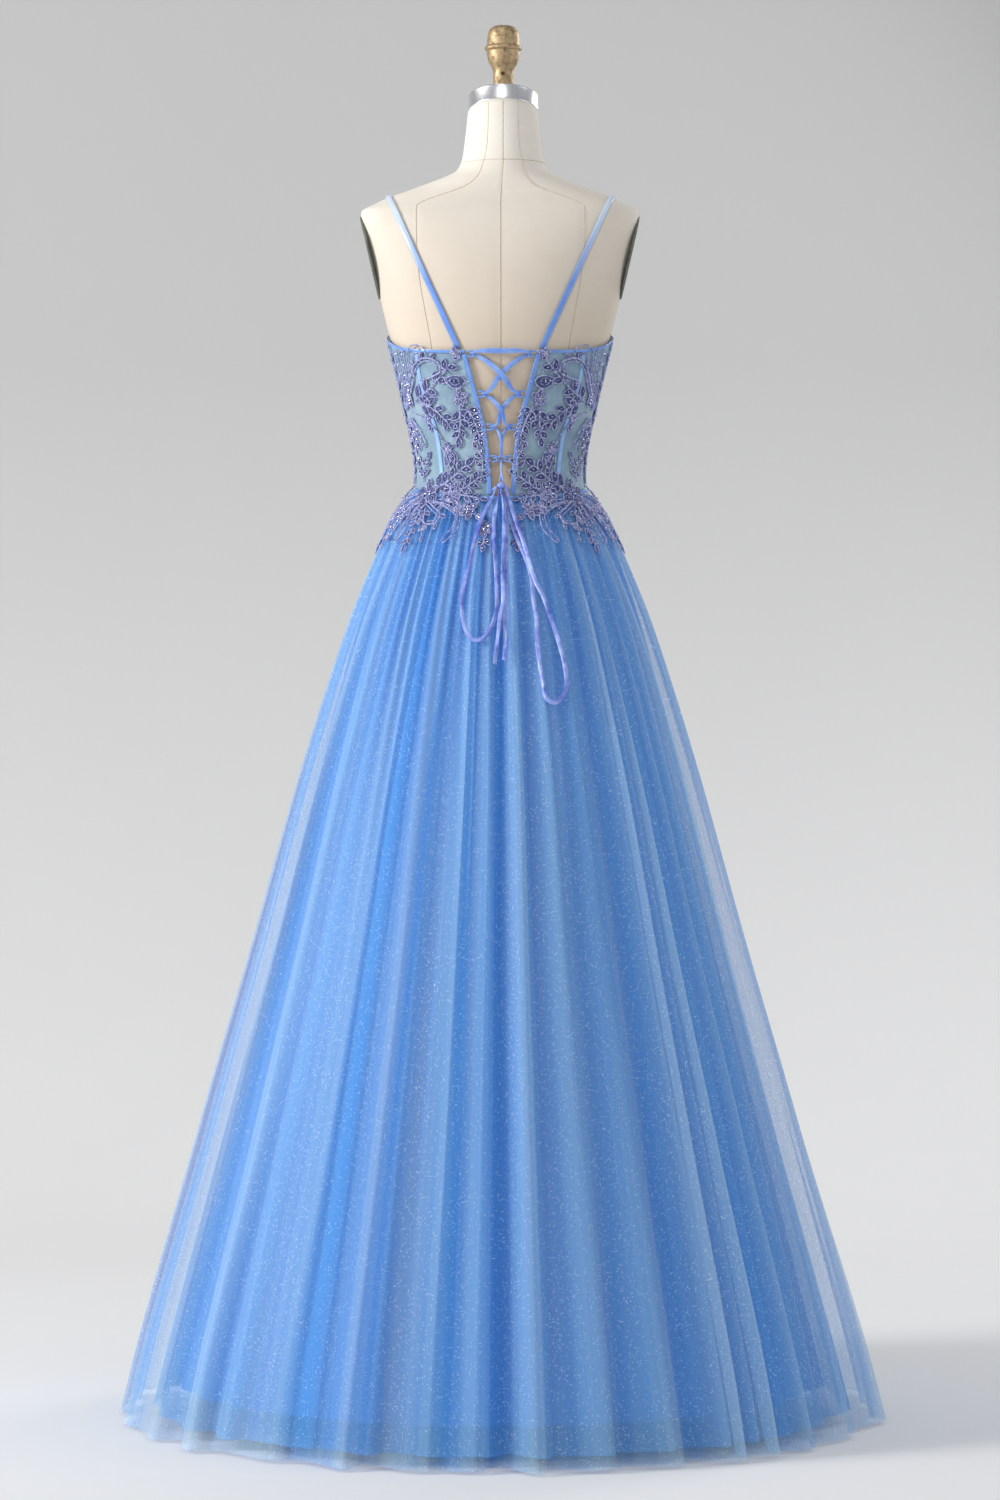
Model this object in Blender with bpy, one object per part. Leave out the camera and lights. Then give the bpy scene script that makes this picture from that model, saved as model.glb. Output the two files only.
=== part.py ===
"""Prom dress on a dress form, in metres.

+Z is up, the dress faces -Y and the wearer's left is +X. The origin is on the floor, under the
pole. A turn is measured round the body from the centre back (+Y) towards the wearer's left.
"""

import math

import bpy
import bmesh
import numpy as np

# Frame and clearances
HEM_Z = 0.004
SEAM = 0.0002
FORM_GAP = 0.0018
CLOTH = 0.0014
TRIM_GAP = 0.0006
TRIM = 0.0012
RISE = 0.0010
BODICE_OUT = FORM_GAP + CLOTH
UNDER_OUT, SKIRT_OUT = 0.0034, 0.0052
WAIST_FALL = 0.03
PANEL_RADIUS = 0.11
HIP_RADIUS = 0.12
HIP_GAP, HIP_OUT = 0.0014, 0.0026
STRAP_OUT, STRAP_WIDE, STRAP_THICK = 0.0020, 0.0066, 0.0014
TRIM_OUT = BODICE_OUT + TRIM_GAP + TRIM / 2

# The form's body: height, half width, back, front, roundness of the section
BODY = np.array(
    (
        (0.885, 0.1400, 0.0980, -0.0800, 2.1),
        (0.930, 0.1490, 0.1090, -0.0880, 2.1),
        (0.980, 0.1500, 0.1120, -0.0900, 2.1),
        (1.030, 0.1420, 0.1060, -0.0900, 2.1),
        (1.070, 0.1300, 0.0970, -0.0890, 2.1),
        (1.110, 0.1155, 0.0870, -0.0870, 2.1),
        (1.140, 0.1055, 0.0795, -0.0855, 2.1),
        (1.172, 0.1018, 0.0765, -0.0850, 2.1),
        (1.205, 0.1048, 0.0790, -0.0870, 2.1),
        (1.256, 0.1158, 0.0880, -0.0980, 2.1),
        (1.294, 0.1248, 0.0945, -0.1080, 2.1),
        (1.331, 0.1343, 0.0985, -0.1130, 2.2),
        (1.360, 0.1420, 0.0995, -0.1110, 2.2),
        (1.391, 0.1495, 0.0985, -0.1040, 2.2),
        (1.430, 0.1590, 0.0945, -0.0930, 2.3),
        (1.460, 0.1665, 0.0870, -0.0820, 2.4),
        (1.485, 0.1730, 0.0750, -0.0700, 2.4),
        (1.499, 0.1735, 0.0640, -0.0620, 2.3),
        (1.509, 0.1580, 0.0560, -0.0590, 2.2),
        (1.5175, 0.1405, 0.0500, -0.0560, 2.2),
        (1.527, 0.1150, 0.0470, -0.0550, 2.1),
        (1.5356, 0.0925, 0.0455, -0.0550, 2.1),
        (1.543, 0.0740, 0.0440, -0.0560, 2.0),
        (1.550, 0.0600, 0.0420, -0.0560, 2.0),
        (1.561, 0.0532, 0.0380, -0.0560, 2.0),
        (1.590, 0.0480, 0.0340, -0.0550, 2.0),
        (1.632, 0.0434, 0.0315, -0.0550, 2.0),
    )
)
BUST = {"side": 0.070, "z": 1.322, "out": 0.024, "wide": 0.055, "high": 0.052}
NECK_LEAN = -0.0040
NECK_TILT = math.radians(15.5)
NECK_SEAM_Z, NECK_TOP_Z = 1.561, 1.6255
NECK_MID_Y = -0.0118

# Skirt: fall from the waist (0) to the hem (1), half width, half depth of the outer layer
SKIRT = np.array(
    (
        (0.000, 0.1095, 0.0860),
        (0.030, 0.1310, 0.1080),
        (0.057, 0.1455, 0.1230),
        (0.088, 0.1610, 0.1390),
        (0.138, 0.1840, 0.1640),
        (0.221, 0.2160, 0.2010),
        (0.312, 0.2480, 0.2380),
        (0.495, 0.3065, 0.3020),
        (0.632, 0.3520, 0.3500),
        (0.719, 0.3800, 0.3790),
        (0.852, 0.4250, 0.4250),
        (0.923, 0.4480, 0.4480),
        (1.000, 0.4700, 0.4700),
    )
)
# Under-skirt: fall, half width, half depth
UNDER = np.array(
    (
        (0.000, 0.1080, 0.0840),
        (0.030, 0.1240, 0.1010),
        (0.088, 0.1475, 0.1270),
        (0.138, 0.1650, 0.1460),
        (0.221, 0.1890, 0.1740),
        (0.495, 0.2640, 0.2600),
        (0.719, 0.3300, 0.3290),
        (1.000, 0.4100, 0.4100),
    )
)
SKIRT_ROWS = (0.0, 0.03, 0.065, 0.115, 0.19, 0.31, 0.47, 0.65, 0.83, 1.0)
UNDER_ROWS = (0.0, 0.03, 0.09, 0.18, 0.36, 0.62, 0.965)
HIP_ROWS = (0.0, 0.35, 0.7, 1.0)

# Folds of the outer skirt, round the hem: turn in degrees, millimetres out (+) or in (-)
FOLDS = np.array(
    (
        (-174, 12), (-167, -14), (-160, 13), (-153, -12), (-147, 11), (-140, -15),
        (-133, 14), (-127, -12), (-121, 12), (-113, -14), (-105, 12), (-98, -11),
        (-90, 6), (-83.5, -12), (-77, 12), (-69, -13), (-60, 15), (-54.5, -14),
        (-48.8, 13), (-45, -12), (-41.4, 13), (-38.3, -13), (-35.3, 14), (-30, -12),
        (-24, 6), (-19, -12), (-14, 13), (-9, -10), (-4.2, 15), (-0.8, -22),
        (4.8, 4), (7.6, -4), (11.4, 10), (18.4, -16), (22.6, 14), (29, -8),
        (36, 7), (43, -10), (51, 14), (56, -12), (62, 13), (68, -11),
        (75, 11), (82.5, -12), (90, 6), (98, -12), (106, 13), (114, -13),
        (121, 12), (128, -13), (136, 14), (144, -11), (151, 12), (158, -13),
        (165, 12), (172, -10), (179, 7), (183, -9),
    ),
    float,
)
# How the folds deepen: share of their depth, from this fall, to this fall
FOLD_DEPTH = ((0.34, 0.0, 0.16), (0.26, 0.1, 0.55), (0.45, 0.5, 1.0))
GATHER = 1.2
GORE_SEAMS = (-167, -127, -83.5, -38.3, -0.8, 43, 98, 144)
UNDER_SEAMS = (-150, -90, -30, 30, 90, 150)

# Bodice seams from the top (0) to the waist (1): height share, distance from the centre
V_EDGE = np.array(((0, 0.0443), (0.3, 0.0298), (0.52, 0.0196), (0.74, 0.0146), (1, 0.0112)))
BACK_SEAM = np.array(((0, 0.1040), (0.23, 0.0980), (0.43, 0.0872), (0.61, 0.0775), (1, 0.0700)))
FRONT_SEAM = np.array(((0, 0.0850), (0.25, 0.0790), (0.5, 0.0640), (0.75, 0.0540), (1, 0.0500)))
# Top edge: turn, height
TOP_EDGE = np.array(
    (
        (0.00, 1.3185), (0.60, 1.3200), (1.10, 1.3270), (1.57, 1.3425), (1.95, 1.3540),
        (2.35, 1.3700), (2.58, 1.3680), (2.82, 1.3480), (3.02, 1.3300), (3.1416, 1.3265),
    )
)
# Waist seam: turn, height
WAIST = np.array(((0.00, 1.1400), (0.80, 1.1460), (1.57, 1.1545), (2.40, 1.1520), (3.1416, 1.1500)))
# Straps, distance across and height: at the back binding, over the shoulder, at the front's peak
STRAP_BACK, STRAP_TOP, STRAP_FRONT = np.array(((0.0467, 1.3215), (0.1400, 1.5173), (0.0870, 1.3740)))
BACK_SHIFT = -0.0015
PLACKET_WIDE = 0.0056
BINDING_WIDE = 0.0050
CASING_WIDE = 0.0042

# Raised applique, on one half: turn in degrees, height share, length and width in mm, lean in degrees
LEAF_PADS = np.array(
    (
        (31, 0.10, 26, 13, 60), (45, 0.08, 22, 16, 10), (38, 0.24, 30, 11, 40),
        (26, 0.30, 18, 16, 0), (24, 0.44, 28, 10, -75), (33, 0.42, 26, 11, -35),
        (44, 0.38, 24, 11, -20), (36, 0.60, 26, 11, -50), (28, 0.66, 17, 14, 0),
        (50, 0.50, 26, 10, -70), (62, 0.14, 30, 12, 70), (74, 0.20, 30, 12, 80),
        (84, 0.12, 28, 12, 95), (66, 0.36, 30, 11, 60), (80, 0.42, 30, 11, 75),
        (72, 0.58, 28, 11, -60), (60, 0.66, 24, 11, -45), (88, 0.62, 28, 11, -85),
        (48, 0.92, 34, 34, 0), (32, 0.86, 28, 11, 35), (18, 0.80, 24, 10, 55),
        (66, 0.88, 28, 12, -30), (82, 0.90, 26, 18, 0), (96, 0.30, 28, 12, 80),
        (108, 0.12, 28, 14, 60), (112, 0.44, 28, 12, -60), (100, 0.72, 26, 12, 70),
        (122, 0.28, 26, 20, 0), (138, 0.12, 26, 14, 40), (134, 0.48, 28, 12, 60),
        (120, 0.84, 28, 24, 0), (146, 0.72, 26, 12, -45), (158, 0.34, 26, 14, 60),
        (166, 0.62, 26, 12, 80), (172, 0.20, 20, 20, 0), (154, 0.92, 26, 18, 0),
    ),
    float,
)
ARC = 0.118

# Hip applique edge: turn in degrees, drop below the waist seam in mm
HIP_EDGE = np.array(
    (
        (0, 44), (6, 58), (12, 34), (18, 50), (24, 30), (31, 40), (38, 26), (46, 56),
        (54, 34), (62, 60), (70, 40), (78, 74), (85, 50), (92, 78), (99, 46), (107, 66),
        (115, 40), (123, 62), (131, 36), (139, 58), (147, 38), (156, 62), (165, 40), (173, 58), (180, 44),
    ),
    float,
)

# Lacing levels: height, reach of the loop's tip from the opening's centre, ribbon width below it
LEVELS = (
    (1.3145, 0.0322, 0.0056),
    (1.2655, 0.0192, 0.0050),
    (1.2255, 0.0088, 0.0040),
    (1.1865, 0.0040, 0.0034),
)
LOOP_HALF, LOOP_WIDE = 0.0034, 0.0020
LOOP_OUT = 0.0042
RIBBON, RIBBON_THICK = 0.0054, 0.0012
EYE_WIDE = 0.0024
LOOPED_WIDE = 0.0034
OVER_OUT, UNDER_LACE_OUT, BAR_OUT = 0.0064, 0.0040, 0.0061
LAST_CROSS_Z = 1.1690
KNOT_Z, KNOT_OUT = 1.1510, 0.0105
KNOT_SIZE = (0.0054, 0.0052, 0.0050)
# Where the ribbon goes into the knot: across, up from the knot, out
KNOT_ENTRY = (0.0021, 0.0056, 0.0092)
# The loops that slant to the knot: across, height, out; and their width
KNOT_LOOP = ((0.0104, 1.1462, 0.0050), (0.0083, 1.1478, 0.0068), (0.0058, 1.1500, 0.0088))
KNOT_LOOP_WIDE = 0.0030
# Above this height the bow lies straight; below it follows the skirt's ridges, in millimetres
BOW_TOP_Z = 1.1396
BOW_RIDGE, BOW_CLEAR = 14, 1.0

# Bow: across and up, then height over the skirt, all in millimetres from the knot
BOW_LEFT = np.array(
    (
        (5.5, -2.2, 6.3), (9.0, -11.0, 6.5), (16.2, -26.6, 6.5), (23.5, -41.8, 6.5),
        (32.0, -73.4, 6.5), (37.4, -99.7, 6.5), (42.8, -119.5, 6.5), (46.4, -139.2, 6.2),
        (45.7, -162.5, 5.8), (40.2, -183.3, 4.6), (31.7, -192.5, 4.8), (22.6, -190.7, 4.6),
        (13.6, -179.7, 4.6), (7.5, -165.0, 4.3), (5.0, -146.6, 4.3), (5.5, -119.5, 4.3),
        (7.0, -92.2, 4.3), (8.8, -64.6, 4.3), (8.0, -35.5, 4.3), (4.8, -16.0, 4.3), (2.6, -5.6, 4.3),
    )
)
BOW_RIGHT = np.array(
    (
        (-5.6, -2.2, 6.5), (-8.9, -14.0, 6.5), (-14.0, -34.2, 6.5), (-20.5, -54.5, 6.5),
        (-27.8, -77.2, 6.5), (-35.0, -104.7, 6.5), (-41.5, -123.2, 6.5), (-49.4, -139.2, 6.5),
        (-57.8, -163.8, 6.2), (-67.3, -191.9, 5.2), (-74.4, -221.1, 5.8), (-77.3, -245.3, 5.2),
        (-73.0, -259.8, 4.6), (-62.7, -268.3, 4.8), (-53.7, -263.5, 4.6), (-49.0, -245.3, 4.6),
        (-45.5, -221.1, 4.3), (-42.6, -193.1, 4.3), (-42.0, -163.8, 4.3), (-38.5, -141.7, 4.3),
        (-35.5, -112.1, 4.3), (-27.8, -87.0, 4.3), (-16.8, -61.0, 4.3), (-8.5, -31.7, 4.3),
        (-4.6, -14.0, 4.3), (-2.4, -5.6, 4.3),
    )
)
TAIL_LONG = np.array(
    (
        (0.5, -5.3, 7.4), (-2.8, -35.5, 9.2), (-3.4, -67.1, 9.2), (-2.1, -112.1, 9.0),
        (-2.1, -145.3, 8.8), (1.5, -165.0, 8.6), (4.5, -190.7, 8.6), (7.5, -223.5, 8.6),
    )
)
TAIL_SHORT = np.array(
    (
        (-1.8, -5.6, 5.6), (-3.4, -25.0, 6.5), (-4.6, -50.0, 6.5), (-5.2, -92.2, 6.5), (-4.3, -141.7, 6.5),
        (-4.0, -166.2, 6.5), (-4.6, -185.8, 6.5), (-3.0, -217.4, 6.5),
    )
)

# Neck band: radius, distance along the neck from its top
BAND = ((0.0430, 0.0003), (0.0440, 0.0013), (0.0440, 0.0197), (0.0430, 0.0207))
# Knob on the neck: radius, height; and the small hole in its stem
KNOB = (
    (0.0127, 1.6625), (0.0126, 1.6765), (0.0138, 1.6814), (0.0176, 1.6880), (0.0198, 1.6955),
    (0.0206, 1.7034), (0.0229, 1.7048), (0.0233, 1.7074), (0.0208, 1.7106), (0.0203, 1.7160),
    (0.0195, 1.7222), (0.0178, 1.7282), (0.0142, 1.7326), (0.0080, 1.7350), (0.0020, 1.7358),
)
KNOB_BACK = -0.004
HOLE, HOLE_Z, HOLE_DEPTH = 0.0025, 1.6735, 0.004
BASE = (
    (0.1800, 0.0), (0.1800, 0.010), (0.1720, 0.018), (0.1100, 0.029),
    (0.0360, 0.036), (0.0300, 0.046), (0.0170, 0.050),
)
POLE_RADIUS = 0.016
PLATE = {
    "x": 0.1602, "z": 1.4431, "tall": 0.0530, "deep": 0.0400, "thick": 0.0036,
    "lean": math.radians(12.9),
}

# Colours, linear
COVER = (0.80, 0.74, 0.65)
TULLE = (0.28, 0.48, 0.88)
SATIN = (0.16, 0.30, 0.72)
MESH = (0.28, 0.36, 0.42)
LACE = (0.28, 0.28, 0.62)
ALLOY = (0.60, 0.61, 0.62)
BRASS = (0.32, 0.23, 0.12)
PLATE_GREY = (0.15, 0.17, 0.14)
IRON = (0.05, 0.05, 0.055)


def clear_scene():
    for item in list(bpy.data.objects):
        bpy.data.objects.remove(item, do_unlink=True)


def material(name, colour, rough, metal=0.0):
    """One plain Principled material, named after its node."""
    made = bpy.data.materials.new(name)
    made.use_nodes = True
    shader = made.node_tree.nodes["Principled BSDF"]
    shader.inputs["Base Color"].default_value = (*colour, 1.0)
    shader.inputs["Roughness"].default_value = rough
    shader.inputs["Metallic"].default_value = metal
    made.diffuse_color = (*colour, 1.0)
    return made


def add_solid(name, points, faces, colour, rough=0.8, metal=0.0, smooth=True):
    """A mesh object with its faces turned outwards."""
    mesh = bpy.data.meshes.new(name)
    mesh.from_pydata([tuple(point) for point in points], [], faces)
    work = bmesh.new()
    work.from_mesh(mesh)
    bmesh.ops.recalc_face_normals(work, faces=work.faces)
    if work.calc_volume(signed=True) < 0:
        bmesh.ops.reverse_faces(work, faces=work.faces)
    work.to_mesh(mesh)
    work.free()
    mesh.polygons.foreach_set("use_smooth", [smooth] * len(mesh.polygons))
    mesh.materials.append(material(name, colour, rough, metal))
    made = bpy.data.objects.new(name, mesh)
    bpy.context.scene.collection.objects.link(made)
    return made


def loft(name, rings, colour, rough=0.8, metal=0.0, smooth=True):
    """Closed rings of equal count joined in order, with a flat face on each end."""
    count = len(rings[0])
    faces = []
    for row in range(len(rings) - 1):
        for at in range(count):
            after = (at + 1) % count
            here, above = row * count, (row + 1) * count
            faces.append((here + at, here + after, above + after, above + at))
    faces.append(tuple(range(count))[::-1])
    faces.append(tuple(range((len(rings) - 1) * count, len(rings) * count)))
    return add_solid(name, np.concatenate(rings), faces, colour, rough, metal, smooth)


def shell(name, outer, inner, colour, step=(1, 1), rough=0.8):
    """A sheet's solid from its outer grid and its inner one, which takes each step-th row and column."""
    rows, columns = outer.shape[:2]
    inner = inner[:: step[0], :: step[1]]
    inner_columns = inner.shape[1]
    start = rows * columns

    def out(row, column):
        return row * columns + column

    def under(row, column):
        return start + (row // step[0]) * inner_columns + column // step[1]

    faces = [
        (out(r, c), out(r, c + 1), out(r + 1, c + 1), out(r + 1, c))
        for r in range(rows - 1)
        for c in range(columns - 1)
    ]
    row_steps = range(0, rows - 1, step[0])
    column_steps = range(0, columns - 1, step[1])
    for r in row_steps:
        for c in column_steps:
            far_r, far_c = r + step[0], c + step[1]
            faces.append((under(r, c), under(far_r, c), under(far_r, far_c), under(r, far_c)))
    for row in (0, rows - 1):
        for c in column_steps:
            chain = [out(row, k) for k in range(c, c + step[1] + 1)]
            faces.append((*chain, under(row, c + step[1]), under(row, c)))
    for column in (0, columns - 1):
        for r in row_steps:
            chain = [out(k, column) for k in range(r, r + step[0] + 1)]
            faces.append((*chain, under(r + step[0], column), under(r, column)))
    points = np.concatenate((outer.reshape(-1, 3), inner.reshape(-1, 3)))
    return add_solid(name, points, faces, colour, rough)


def unit(vectors):
    vectors = np.asarray(vectors, float)
    return vectors / np.maximum(np.linalg.norm(vectors, axis=-1, keepdims=True), 1e-12)


def strip(name, points, normals, widths, colour, thick=RIBBON_THICK, rough=0.45):
    """A flat ribbon along the points. Its width turns smoothly and lies across the normals where it can."""
    points, normals = np.asarray(points, float), unit(normals)
    tangents = unit(np.gradient(points, axis=0))
    across = np.cross(tangents, normals)
    kept = unit(across[0])
    sides = []
    for tangent, wish in zip(tangents, across):
        kept = kept - tangent * np.dot(kept, tangent)
        share = min(float(np.dot(wish, wish)), 1.0)
        turn = 1.0 if np.dot(wish, kept) >= 0 else -1.0
        kept = unit((1 - share) * unit(kept) + share * turn * unit(wish))
        kept = unit(kept - tangent * np.dot(kept, tangent))
        sides.append(kept)
    sides = np.array(sides)
    lifts = np.cross(sides, tangents)
    half = np.broadcast_to(np.asarray(widths, float), (len(points),))[:, None] / 2
    up = lifts * thick / 2
    rings = np.stack(
        (
            points + sides * half + up,
            points - sides * half + up,
            points - sides * half - up,
            points + sides * half - up,
        ),
        axis=1,
    )
    return loft(name, list(rings), colour, rough, smooth=False)


def curve(values, table, column=1):
    """Cubic through a table's points, with slopes that never overshoot a level stretch."""
    xs, ys = table[:, 0], table[:, column]
    run = np.diff(xs)
    rise = np.diff(ys) / run
    slopes = np.concatenate(([rise[0]], (rise[1:] + rise[:-1]) / 2, [rise[-1]]))
    flat = np.concatenate(([False], rise[1:] * rise[:-1] <= 0, [False]))
    slopes[flat] = 0.0
    values = np.clip(values, xs[0], xs[-1])
    at = np.clip(np.searchsorted(xs, values, side="right") - 1, 0, len(xs) - 2)
    share = (values - xs[at]) / run[at]
    square, cube = share**2, share**3
    start = (2 * cube - 3 * square + 1) * ys[at] + (cube - 2 * square + share) * run[at] * slopes[at]
    end = (3 * square - 2 * cube) * ys[at + 1] + (cube - square) * run[at] * slopes[at + 1]
    return start + end


def step_up(values, low, high):
    share = np.clip((values - low) / (high - low), 0, 1)
    return share * share * (3 - 2 * share)


def signed_power(values, power):
    return np.sign(values) * np.abs(values) ** power


def wrap(turn):
    """The turn as its distance from the centre back, 0 to pi."""
    return np.abs((np.asarray(turn) + math.pi) % (2 * math.pi) - math.pi)


def top_height(turn):
    return curve(wrap(turn), TOP_EDGE)


def waist_height(turn):
    return curve(wrap(turn), WAIST)


def body(turn, height, out=0.0):
    """Points of the form's body, moved out sideways."""
    turn, height = np.broadcast_arrays(np.asarray(turn, float), np.asarray(height, float))
    half, back, front, power = (curve(height, BODY, column) for column in (1, 2, 3, 4))
    lean = NECK_LEAN * step_up(height, 1.50, 1.57)
    x = (half + out) * signed_power(np.sin(turn), 2 / power)
    depth = (back - front) / 2 + out
    y = (back + front) / 2 + depth * signed_power(np.cos(turn), 2 / power)
    aside = (np.abs(x) - BUST["side"]) / BUST["wide"]
    mound = np.exp(-(aside**2) - ((height - BUST["z"]) / BUST["high"]) ** 2)
    y = y - BUST["out"] * mound * step_up(-np.cos(turn), 0.0, 0.5)
    return np.stack((x + lean, y, height), axis=-1)


def body_normal(turn, height):
    """Outward normal of the body by small steps."""
    small = 1e-4
    across = body(turn + small, height) - body(turn - small, height)
    up = body(turn, height + small) - body(turn, height - small)
    return unit(np.cross(up, across))


def turn_of(x, height, back=True, out=0.0):
    """The turn at which the body has this distance across."""
    half, power = curve(height, BODY, 1) + out, curve(height, BODY, 4)
    angle = np.arcsin(np.clip(np.abs(x) / half, 0, 1) ** (power / 2)) * np.sign(x)
    return angle if back else np.sign(x) * math.pi - angle


def seam_turn(table, share, back=True, shift=0.0, side=1):
    """The turn of a bodice seam on one side, at each height share."""
    x = side * curve(share, table) + shift
    turn = turn_of(x, 1.25 + 0 * share, back)
    for _ in range(4):
        height = top_height(turn) + (waist_height(turn) - top_height(turn)) * share
        turn = turn_of(x, height, back, BODICE_OUT)
    return turn


def pads(turn, share):
    """How far the applique stands out, 0 to 1."""
    along = wrap(turn) * ARC
    height = top_height(turn) + (waist_height(turn) - top_height(turn)) * share
    found = np.zeros_like(along)
    for degrees, pad_share, length, width, lean in LEAF_PADS:
        middle = math.radians(degrees)
        centre = top_height(middle) + (waist_height(middle) - top_height(middle)) * pad_share
        lean = math.radians(lean)
        across, up = along - middle * ARC, height - centre
        long_way = (across * math.cos(lean) - up * math.sin(lean)) / (length / 2000)
        short_way = (across * math.sin(lean) + up * math.cos(lean)) / (width / 2000)
        found = np.maximum(found, 1 - step_up(np.hypot(long_way, short_way), 0.75, 1.15))
    return found


def panel(name, left, right, size, step, plain=(1, 1)):
    """One bodice panel between two seams, raised where the applique lies but for its plain edge columns."""
    rows, columns = size
    share = np.linspace(0, 1, rows + 1)[:, None]
    start, end = left(share) + 1.5 * SEAM / PANEL_RADIUS, right(share) - 1.5 * SEAM / PANEL_RADIUS
    turn = start + (end - start) * np.linspace(0, 1, columns + 1)[None, :]
    share = np.broadcast_to(share, turn.shape)
    height = top_height(turn) + (waist_height(turn) + SEAM - top_height(turn)) * share
    raised = pads(turn, share) * RISE
    raised[[0, 1, -1], :] = 0
    raised[:, : plain[0]] = 0
    raised[:, columns + 1 - plain[1] :] = 0
    outer = body(turn, height, BODICE_OUT + raised)
    inner = body(turn, height, FORM_GAP)
    return shell(name, outer, inner, MESH, step)


def build_bodice():
    def v_edge(side):
        return lambda share: seam_turn(V_EDGE, share, True, BACK_SHIFT, side)

    def back_seam(side):
        return lambda share: seam_turn(BACK_SEAM, share, True, 0.0, side)

    def side_seam(side):
        return lambda share: side * math.pi / 2 + 0 * share

    def front_seam(side):
        return lambda share: seam_turn(FRONT_SEAM, share, False, 0.0, side)

    panel("bodice_back_left", v_edge(1), back_seam(1), (20, 8), (2, 2), (2, 1))
    panel("bodice_back_right", back_seam(-1), v_edge(-1), (20, 8), (2, 2), (1, 2))
    panel("bodice_side_back_left", back_seam(1), side_seam(1), (20, 8), (2, 2))
    panel("bodice_side_back_right", side_seam(-1), back_seam(-1), (20, 8), (2, 2))
    panel("bodice_side_front_left", side_seam(1), front_seam(1), (15, 7), (1, 1))
    panel("bodice_side_front_right", front_seam(-1), side_seam(-1), (15, 7), (1, 1))
    far_side = front_seam(-1)
    panel("bodice_centre_front", front_seam(1), lambda share: 2 * math.pi + far_side(share), (15, 8), (1, 1))


def trim_strip(name, turn, height, width, colour, out=TRIM_OUT):
    """A satin strip that lies on the bodice along the given turns and heights."""
    points = body(turn, height, out)
    return strip(name, points, body_normal(turn, height), width, colour, TRIM)


def share_height(turn, share):
    return top_height(turn) + (waist_height(turn) - top_height(turn)) * share


def build_trims():
    for side, word in ((1, "left"), (-1, "right")):
        edge = seam_turn(V_EDGE, np.array([0.02]), True, BACK_SHIFT, side)[0]
        turn = np.linspace(edge + side * 0.002, side * (math.pi - 0.005), 32)
        trim_strip(f"top_binding_{word}", turn, top_height(turn) - BINDING_WIDE / 2, BINDING_WIDE, SATIN)
        share = np.linspace(0.032, 0.992, 11)
        shift = BACK_SHIFT + side * PLACKET_WIDE / 2
        turn = seam_turn(V_EDGE, share, True, shift, side)
        trim_strip(f"placket_{word}", turn, share_height(turn, share), PLACKET_WIDE, SATIN)
        for place, count, lift in (("back", 9, 0.0), ("side", 9, 0.0), ("front", 16, 0.0006)):
            share = np.linspace(0.035, 0.992, count)
            turn = {
                "back": seam_turn(BACK_SEAM, share, True, 0.0, side),
                "side": side * math.pi / 2 + 0 * share,
                "front": seam_turn(FRONT_SEAM, share, False, 0.0, side),
            }[place]
            name = f"boning_casing_{place}_{word}"
            trim_strip(name, turn, share_height(turn, share), CASING_WIDE, SATIN, TRIM_OUT + lift)


def form_rings(heights, count):
    turns = np.linspace(0, 2 * math.pi, count, endpoint=False)
    rings = []
    for height in heights:
        ring = body(turns, np.full(count, height))
        tilt = step_up(height, NECK_SEAM_Z, NECK_TOP_Z) * math.tan(NECK_TILT)
        ring[:, 2] += tilt * (ring[:, 1] - NECK_MID_Y)
        rings.append(ring)
    return rings


def oval_rings(scales, offsets, count, side):
    """Rings of the armhole plate: an oval that faces outwards and a little down."""
    angle = np.linspace(0, 2 * math.pi, count, endpoint=False)
    lean = PLATE["lean"]
    out = np.array((side * math.cos(lean), 0.0, -math.sin(lean)))
    up = np.array((side * math.sin(lean), 0.0, math.cos(lean)))
    middle = np.array((side * PLATE["x"], -0.002, PLATE["z"]))
    rings = []
    for scale, offset in zip(scales, offsets):
        deep = (PLATE["deep"] + scale) * np.sin(angle)
        tall = (PLATE["tall"] + scale) * np.cos(angle)
        rings.append(middle + out * offset + np.outer(tall, up) + np.outer(deep, (0, 1, 0)))
    return rings


def cut(target, cutter):
    cutter.hide_render = True
    cutter.display_type = "WIRE"
    tool = target.modifiers.new("cut", "BOOLEAN")
    tool.operation = "DIFFERENCE"
    tool.solver = "EXACT"
    tool.object = cutter


def build_form():
    heights = (
        0.885, 0.893, 0.935, 0.990, 1.050, 1.100, 1.135, 1.156, 1.172, 1.188, 1.205,
        1.225, 1.243, 1.262, 1.281, 1.300, 1.322, 1.345, 1.370, 1.395, 1.430, 1.460, 1.485,
        1.499, 1.509, 1.5175, 1.527, 1.5356, 1.543, 1.550, 1.561, 1.590, NECK_TOP_Z,
    )
    rings = form_rings(heights, 28)
    rings[0][:, :2] *= 0.94
    torso = loft("form_torso", rings, COVER, 0.9)
    for side, word in ((1, "left"), (-1, "right")):
        thick = PLATE["thick"]
        cutter = loft(f"cutter_{word}", oval_rings((0.0004, 0.0004), (-0.0003, 0.05), 24, side), IRON)
        cut(torso, cutter)
        scales, offsets = (-0.001, 0.0, 0.0, -0.0014), (0.0, 0.0008, thick - 0.0012, thick)
        loft(f"form_arm_plate_{word}", oval_rings(scales, offsets, 24, side), PLATE_GREY, 0.5)


def tilted_ring(radius, along, count):
    """A ring about the neck's tilted axis, at a distance along it from the neck's top."""
    angle = np.linspace(0, 2 * math.pi, count, endpoint=False)
    x, y = radius * np.cos(angle), radius * np.sin(angle)
    lean_y, lean_z = math.cos(NECK_TILT), math.sin(NECK_TILT)
    middle = np.array((NECK_LEAN, NECK_MID_Y, NECK_TOP_Z))
    return middle + np.stack((x, y * lean_y - along * lean_z, y * lean_z + along * lean_y), axis=-1)


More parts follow.
